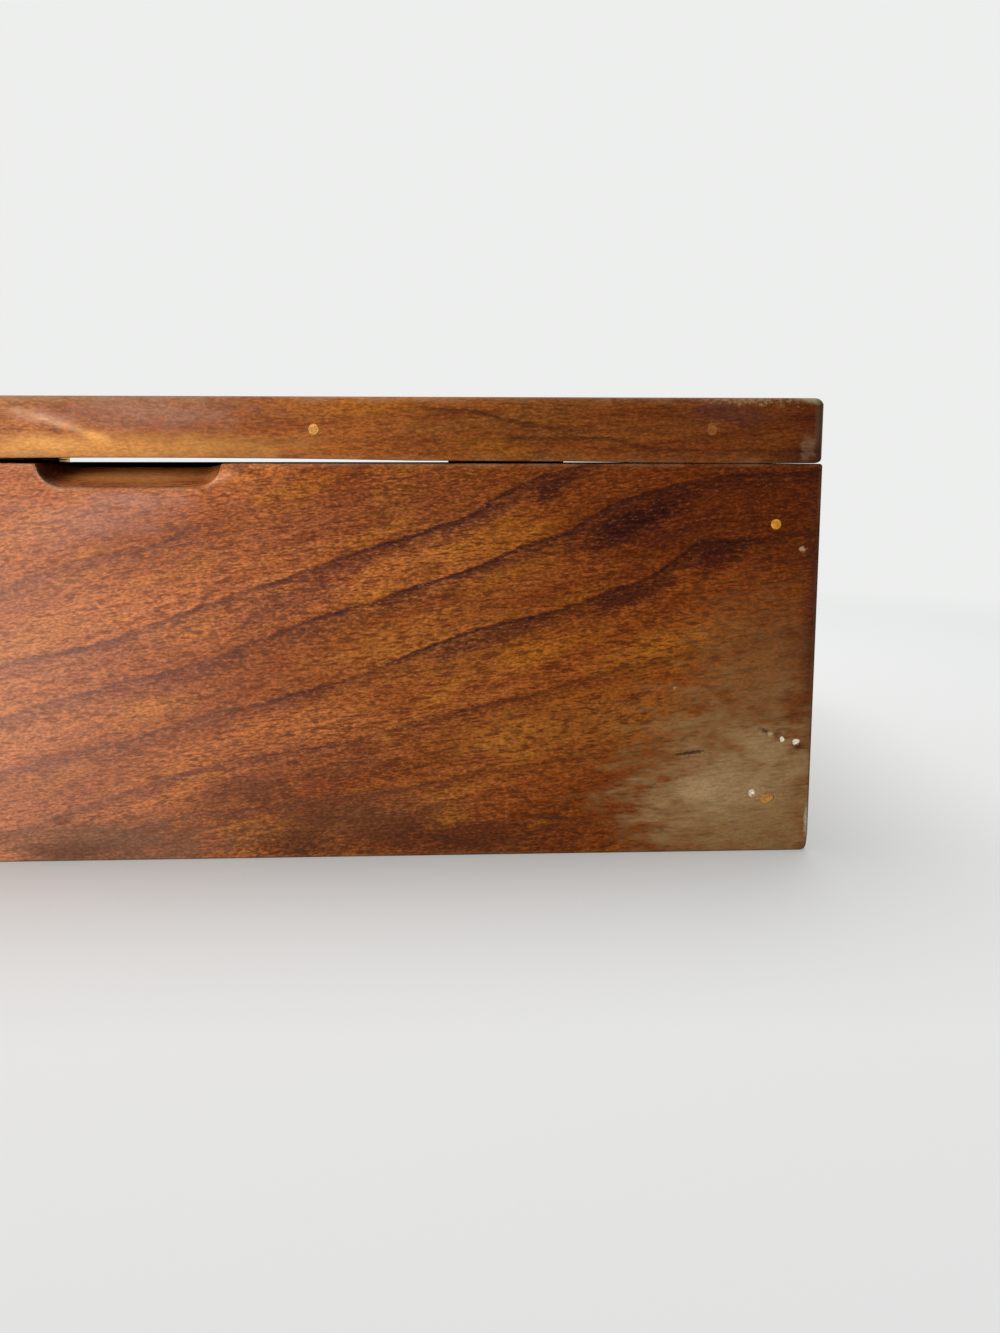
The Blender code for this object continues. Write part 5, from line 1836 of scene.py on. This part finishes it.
@dataclass
class ButtHinges:
    """The two butt hinges: leaves with their knuckles, pins and countersunk screws."""

    knuckles: int = 5
    knuckle_gap: float = 0.12 * MM
    neck_back: float = 0.3 * MM
    running: float = 0.05 * MM
    leaf_ease: float = 0.15 * MM
    knuckle_ease: float = 0.3 * MM
    slot_width: float = 0.6 * MM
    slot_depth: float = 0.5 * MM
    tip: float = 3 * MM
    dome: float = 0.35 * MM
    dome_steps: int = 5
    dome_round: float = 0.35
    dome_flat: float = 0.55

    def make(self, leaf_finish: bpy.types.Material, screw_finish: bpy.types.Material) -> None:
        """Makes both hinges.

        Args:
            leaf_finish: The finish of the leaves and pins.
            screw_finish: The finish of the screws.
        """
        for side, hinge_x in LAYOUT.hinge_xs():
            self.leaf(side, hinge_x, True, leaf_finish)
            self.leaf(side, hinge_x, False, leaf_finish)
            self.pin(side, hinge_x, leaf_finish)
        self.screws(screw_finish)

    def face_z(self, below: bool) -> float:
        """The height of a leaf's inner face."""
        return LAYOUT.axis.z + (-SIZES.leaf_gap if below else SIZES.leaf_gap) / 2

    def leaf(self, side: str, hinge_x: float, below: bool, finish: bpy.types.Material) -> None:
        """Makes one leaf: a plate, with every second knuckle of the barrel rolled from it."""
        owner = "body" if below else "lid"
        name = f"hinge_{side}_{owner}_leaf"
        half = SIZES.leaf_length / 2
        low_z = self.face_z(below) - (SIZES.leaf_thickness if below else 0)
        low = (hinge_x - half, LAYOUT.back - SIZES.leaf_width, low_z)
        high = (hinge_x + half, LAYOUT.axis.y, low_z + SIZES.leaf_thickness)
        piece = block(f"{name}_brass", low, high, self.leaf_ease)
        pitch = SIZES.leaf_length / self.knuckles
        notches, rolls = [], []
        for index in range(self.knuckles):
            start = hinge_x - half + index * pitch
            if index % 2 == (0 if below else 1):
                left = start + (self.knuckle_gap / 2 if index else 0)
                right = start + pitch - (self.knuckle_gap / 2 if index < self.knuckles - 1 else 0)
                ends = [Vector((x, LAYOUT.axis.y, LAYOUT.axis.z)) for x in (left, right)]
                rolls.append(rod("knuckle", SIZES.barrel_radius, *ends, eased=self.knuckle_ease, sides=56))
                continue
            room = self.knuckle_gap + self.neck_back
            low = (start - room, LAYOUT.axis.y - SIZES.barrel_radius - self.neck_back, low_z - CUT_PAST)
            high = (start + pitch + room, LAYOUT.axis.y + CUT_PAST, low_z + SIZES.leaf_thickness + CUT_PAST)
            notches.append(block("notch", low, high))
        carved(piece, notches)
        carved(piece, rolls, "UNION")
        along = Vector((half + CUT_PAST, 0, 0))
        middle = Vector((hinge_x, LAYOUT.axis.y, LAYOUT.axis.z))
        tools = [rod("bore", SIZES.pin_radius + self.running, middle - along, middle + along)]
        tools += [self.sink(x, y, below) for x, y in LAYOUT.screw_places(hinge_x)]
        carved(piece, tools)
        body = Body.BOX if below else Body.LID
        finished(piece, body, finish, [name])

    def sink(self, x: float, y: float, below: bool) -> bpy.types.Object:
        """A tool for a countersunk hole."""
        head, shank = SIZES.screw_head + self.running, SIZES.screw_shank + self.running
        slope = (head - shank) / SIZES.leaf_thickness
        profile = [(-CUT_PAST, shank), (0, shank), (SIZES.leaf_thickness + CUT_PAST, head + slope * CUT_PAST)]
        flip = Matrix() if below else Matrix.Rotation(HALF_TURN, 4, "X")
        back = -SIZES.leaf_thickness if below else SIZES.leaf_thickness
        return lathe("sink", profile, Matrix.Translation((x, y, self.face_z(below) + back)) @ flip)

    def pin(self, side: str, hinge_x: float, finish: bpy.types.Material) -> None:
        """Makes a pin with domed ends."""
        half, radius = SIZES.leaf_length / 2, SIZES.pin_radius
        low = [1 - math.sin(index / self.dome_steps * QUARTER_TURN) for index in range(1, self.dome_steps + 1)]
        start = [(-half, self.dome_flat * radius)]
        start += [(-half + self.dome * part, radius * (1 - self.dome_round * part)) for part in low]
        profile = [*start, *[(-height, r) for height, r in reversed(start)]]
        place = Matrix.Translation((hinge_x, LAYOUT.axis.y, LAYOUT.axis.z)) @ Matrix.Rotation(QUARTER_TURN, 4, "Y")
        name = f"hinge_{side}_pin"
        finished(lathe(f"{name}_brass", profile, place), Body.BOX, finish, [name])

    def screws(self, finish: bpy.types.Material) -> None:
        """Makes the screws, six in the body and six in the lid."""
        sizes = {
            "Head": SIZES.screw_head,
            "Shank": SIZES.screw_shank,
            "Length": SIZES.screw_length,
            "Leaf": SIZES.leaf_thickness,
            "Tip": self.tip,
            "Slot Width": self.slot_width,
            "Slot Depth": self.slot_depth,
            "Ease": 0.1 * MM,
        }
        shop = TurnedShop("hinge_screw", sizes)
        down = {name: shop.math("MULTIPLY", shop.size(name), -1.0) for name in ("Ease", "Leaf", "Length")}
        rim = shop.math("SUBTRACT", shop.size("Head"), shop.size("Ease"))
        tip_z = shop.math("ADD", down["Length"], shop.size("Tip"))
        point = shop.math("MULTIPLY", shop.size("Ease"), 1.5)
        stations = (
            (rim, 0.0),
            (shop.size("Head"), down["Ease"]),
            (shop.size("Shank"), down["Leaf"]),
            (shop.size("Shank"), tip_z),
            (point, down["Length"]),
        )
        solid = shop.turned(stations, 28)
        solid = shop.slotted(solid, shop.size("Head"), shop.size("Slot Width"), shop.size("Slot Depth"))
        shop.end(solid, 1.2, 7)
        for below in (True, False):
            owner = "body" if below else "lid"
            flip = (0.0, 0.0, 0.0) if below else (HALF_TURN, 0.0, 0.0)
            spots, nodes = [], []
            for side, hinge_x in LAYOUT.hinge_xs():
                for number, (x, y) in enumerate(LAYOUT.screw_places(hinge_x), 1):
                    spots.append(Spot((x, y, self.face_z(below)), turn=flip))
                    nodes.append(f"hinge_{side}_{owner}_screw_{number}")
            piece = shop.spread_on(f"{owner}_screws", spots, finish)
            finished(piece, Body.BOX if below else Body.LID, finish, nodes)


# Studio


@dataclass
class Studio:
    """A pale floor and wall, soft light from the left, and the camera."""

    wall: Colour = (0.846, 0.856, 0.846)
    table: Colour = (0.735, 0.757, 0.750)
    table_paint: Colour = (0.62, 0.62, 0.61)
    air: Colour = (0.97, 0.985, 1.0)
    ambient: float = 0.30
    floor_radius: float = 0.66
    floor_fade: float = 0.14
    floor_centre: Point2 = (0.06, 0.0)
    floor_white: float = 0.39
    lens: float = 34.13
    eye: tuple[float, float, float] = (0.0887, -0.5198, 0.1209)
    yaw: float = 0.05186
    pitch: float = 0.16172
    roll: float = 0.00076

    def make(self) -> None:
        """Makes the camera, the world, the floor and the lights."""
        self.camera()
        self.world()
        self.floor()
        warm, cool = (1.0, 0.985, 0.96), (0.97, 0.98, 1.0)
        window = self.light("window", (-0.25, -0.43, 0.18), (0.0, -0.12, 0.07), (0.18, 0.24), 3.4, warm, True)
        window.visible_glossy = False
        self.light("ceiling", (0.0, 0.30, 1.20), ZERO, (1.1, 0.9), 12.0, ONE, False)
        self.light("far_side", (0.9, 0.5, 0.5), (0.1, 0.0, 0.1), (0.5, 0.5), 3.0, cool, True)
        bpy.context.scene.view_settings.view_transform = "Standard"

    def camera(self) -> None:
        """Makes the camera at the photograph's viewing angle."""
        data = bpy.data.cameras.new("camera")
        data.sensor_fit = "VERTICAL"
        data.sensor_height = 36.0
        data.lens = self.lens
        data.clip_start = 0.01
        right = Vector((math.cos(self.yaw), -math.sin(self.yaw), 0))
        flat = Vector((math.sin(self.yaw), math.cos(self.yaw), 0))
        forward = flat * math.cos(self.pitch) - Vector((0, 0, math.sin(self.pitch)))
        up = right.cross(forward)
        tilted = right * math.cos(self.roll) + up * math.sin(self.roll)
        up = tilted.cross(forward)
        turn = Matrix((tilted, up, -forward)).transposed()
        camera = bpy.data.objects.new("camera", data)
        camera.matrix_world = Matrix.Translation(self.eye) @ turn.to_4x4()
        bpy.context.scene.collection.objects.link(camera)
        bpy.context.scene.camera = camera

    @staticmethod
    def seen(bench: Nodes) -> Socket:
        """1 where the camera, a reflection or a refraction sees a surface, and 0 for its light."""
        path = bench.node("ShaderNodeLightPath")
        direct = bench.math("MAXIMUM", path.outputs["Is Camera Ray"], path.outputs["Is Glossy Ray"])
        return bench.math("MAXIMUM", direct, path.outputs["Is Transmission Ray"])

    def world(self) -> None:
        """Makes the world: a pale wall to see, and a plain grey light."""
        world = bpy.data.worlds.new("studio")
        world.use_nodes = True
        nodes = Nodes(world.node_tree)
        mix = nodes.fed("ShaderNodeMixShader", self.seen(nodes))
        for socket, colour, strength in zip(mix.inputs[1:], (self.air, self.wall), (self.ambient, 1.0)):
            nodes.feed(socket, nodes.wired("ShaderNodeBackground", Color=colour, Strength=strength))
        nodes.fed("ShaderNodeOutputWorld", mix.outputs[0])
        bpy.context.scene.world = world

    def floor(self) -> None:
        """Makes a round floor that fades into the wall's colour."""
        bm = bmesh.new()
        rings, sides = 12, 96
        far = 1.3
        hub = bm.verts.new((self.floor_centre[0], self.floor_centre[1], 0))
        loops = []
        for ring in range(1, rings + 1):
            radius = far * ring / rings
            turns = [FULL_TURN * side / sides for side in range(sides)]
            loops.append([
                bm.verts.new((hub.co.x + radius * math.cos(t), hub.co.y + radius * math.sin(t), 0)) for t in turns
            ])
        for side in range(sides):
            after = (side + 1) % sides
            bm.faces.new((hub, loops[0][side], loops[0][after]))
            for low, high in zip(loops, loops[1:]):
                bm.faces.new((low[side], high[side], high[after], low[after]))
        mesh = bpy.data.meshes.new("floor")
        bm.to_mesh(mesh)
        bm.free()
        floor = new_piece("floor", mesh)
        mesh.materials.append(self.floor_finish())

    def floor_finish(self) -> bpy.types.Material:
        """The floor's material: partly its own pale light to the eye, partly lit, so that it keeps the shadow."""
        bench = Bench("pale_floor")
        apart = bench.vector("SUBTRACT", bench.place, (*self.floor_centre, 0))
        away = bench.number("LENGTH", apart)
        edge = Step(self.floor_radius - self.floor_fade, self.floor_radius + self.floor_fade)
        fade = bench.ramp(away, edge)
        colour = bench.mix(fade, tuple(part * self.floor_white for part in self.table), self.wall)
        glow = bench.wired("ShaderNodeEmission", Color=colour, Strength=self.seen(bench))
        lit = bench.wired("ShaderNodeBsdfDiffuse", Color=bench.mix(fade, self.table_paint, ZERO))
        both = bench.fed("ShaderNodeAddShader", glow, lit)
        bench.fed("ShaderNodeOutputMaterial", both.outputs[0])
        return bench.material

    def light(
        self,
        name: str,
        place: Sequence[float],
        target: Sequence[float],
        size: Point2,
        power: float,
        colour: Colour,
        only_box: bool,
    ) -> bpy.types.Object:
        """Makes a soft light.

        Args:
            name: Its name.
            place: Where it is.
            target: Where it points.
            size: Its width and height.
            power: Its power in watts.
            colour: Its colour.
            only_box: Whether it lights the box and leaves the floor out.

        Returns:
            The lamp.
        """
        data = bpy.data.lights.new(name, "AREA")
        data.shape = "RECTANGLE"
        data.size, data.size_y = size
        data.energy = power
        data.color = colour
        lamp = bpy.data.objects.new(name, data)
        lamp.location = place
        lamp.rotation_euler = (Vector(target) - Vector(place)).to_track_quat("-Z", "Y").to_euler()
        bpy.context.scene.collection.objects.link(lamp)
        if only_box:
            lit = bpy.data.collections.new(name + "_lights")
            for piece in bpy.context.scene.objects:
                if piece.type == "MESH" and piece.name != "floor":
                    lit.objects.link(piece)
            lamp.light_linking.receiver_collection = lit
        return lamp


def main() -> None:
    """Builds the box piece by piece, then its studio."""
    logging.basicConfig(level=logging.INFO, format="%(asctime)s %(name)s %(message)s")
    front = Walnut("walnut_front", figure=FRONT_FIGURE, shade=FRONT_PAINTED_SHADE, contrast=0.92).make()
    rail = Walnut("walnut_lid_rail", figure=LID_FIGURE, shade=LID_PAINTED_SHADE, contrast=0.6, offset=0.4,
                  brown=(0.200, 0.068, 0.020)).make()
    plain = dict(shade=PLAIN_SHADE)
    back = Walnut("walnut_back", offset=1.3, rings=Rings((160, -60), 6.5), **plain).make()
    sides = Walnut("walnut_sides", way=Way.Y, offset=2.1, rings=Rings((40, -130), 6.0), **plain).make()
    back_rail = Walnut("walnut_back_rail", offset=3.7, rings=Rings((150, 60), 6.5), **plain).make()
    hearts = ((-150.0, -60.0), (30.0, 20.0), (120.0, -80.0))
    boards = [
        Walnut(f"walnut_lid_{index + 1}", way=Way.Y, offset=4.1 + index, rings=Rings(heart, 10.0), **plain).make()
        for index, heart in enumerate(hearts)
    ]
    pegs = Pegs()
    BoxBody(pegs).make(front, back, sides, PanelWood().make())
    Lid().make(rail, back_rail, boards)
    pegs.make(PegWood().make())
    turned = Brass("brass_screw", (0.70, 0.51, 0.22), (0.45, 0.31, 0.12), brushed=(900, 900, 900), rough=0.24)
    ButtHinges().make(Brass("brass_leaf").make(), turned.make())
    Studio().make()


if __name__ == "__main__":
    main()
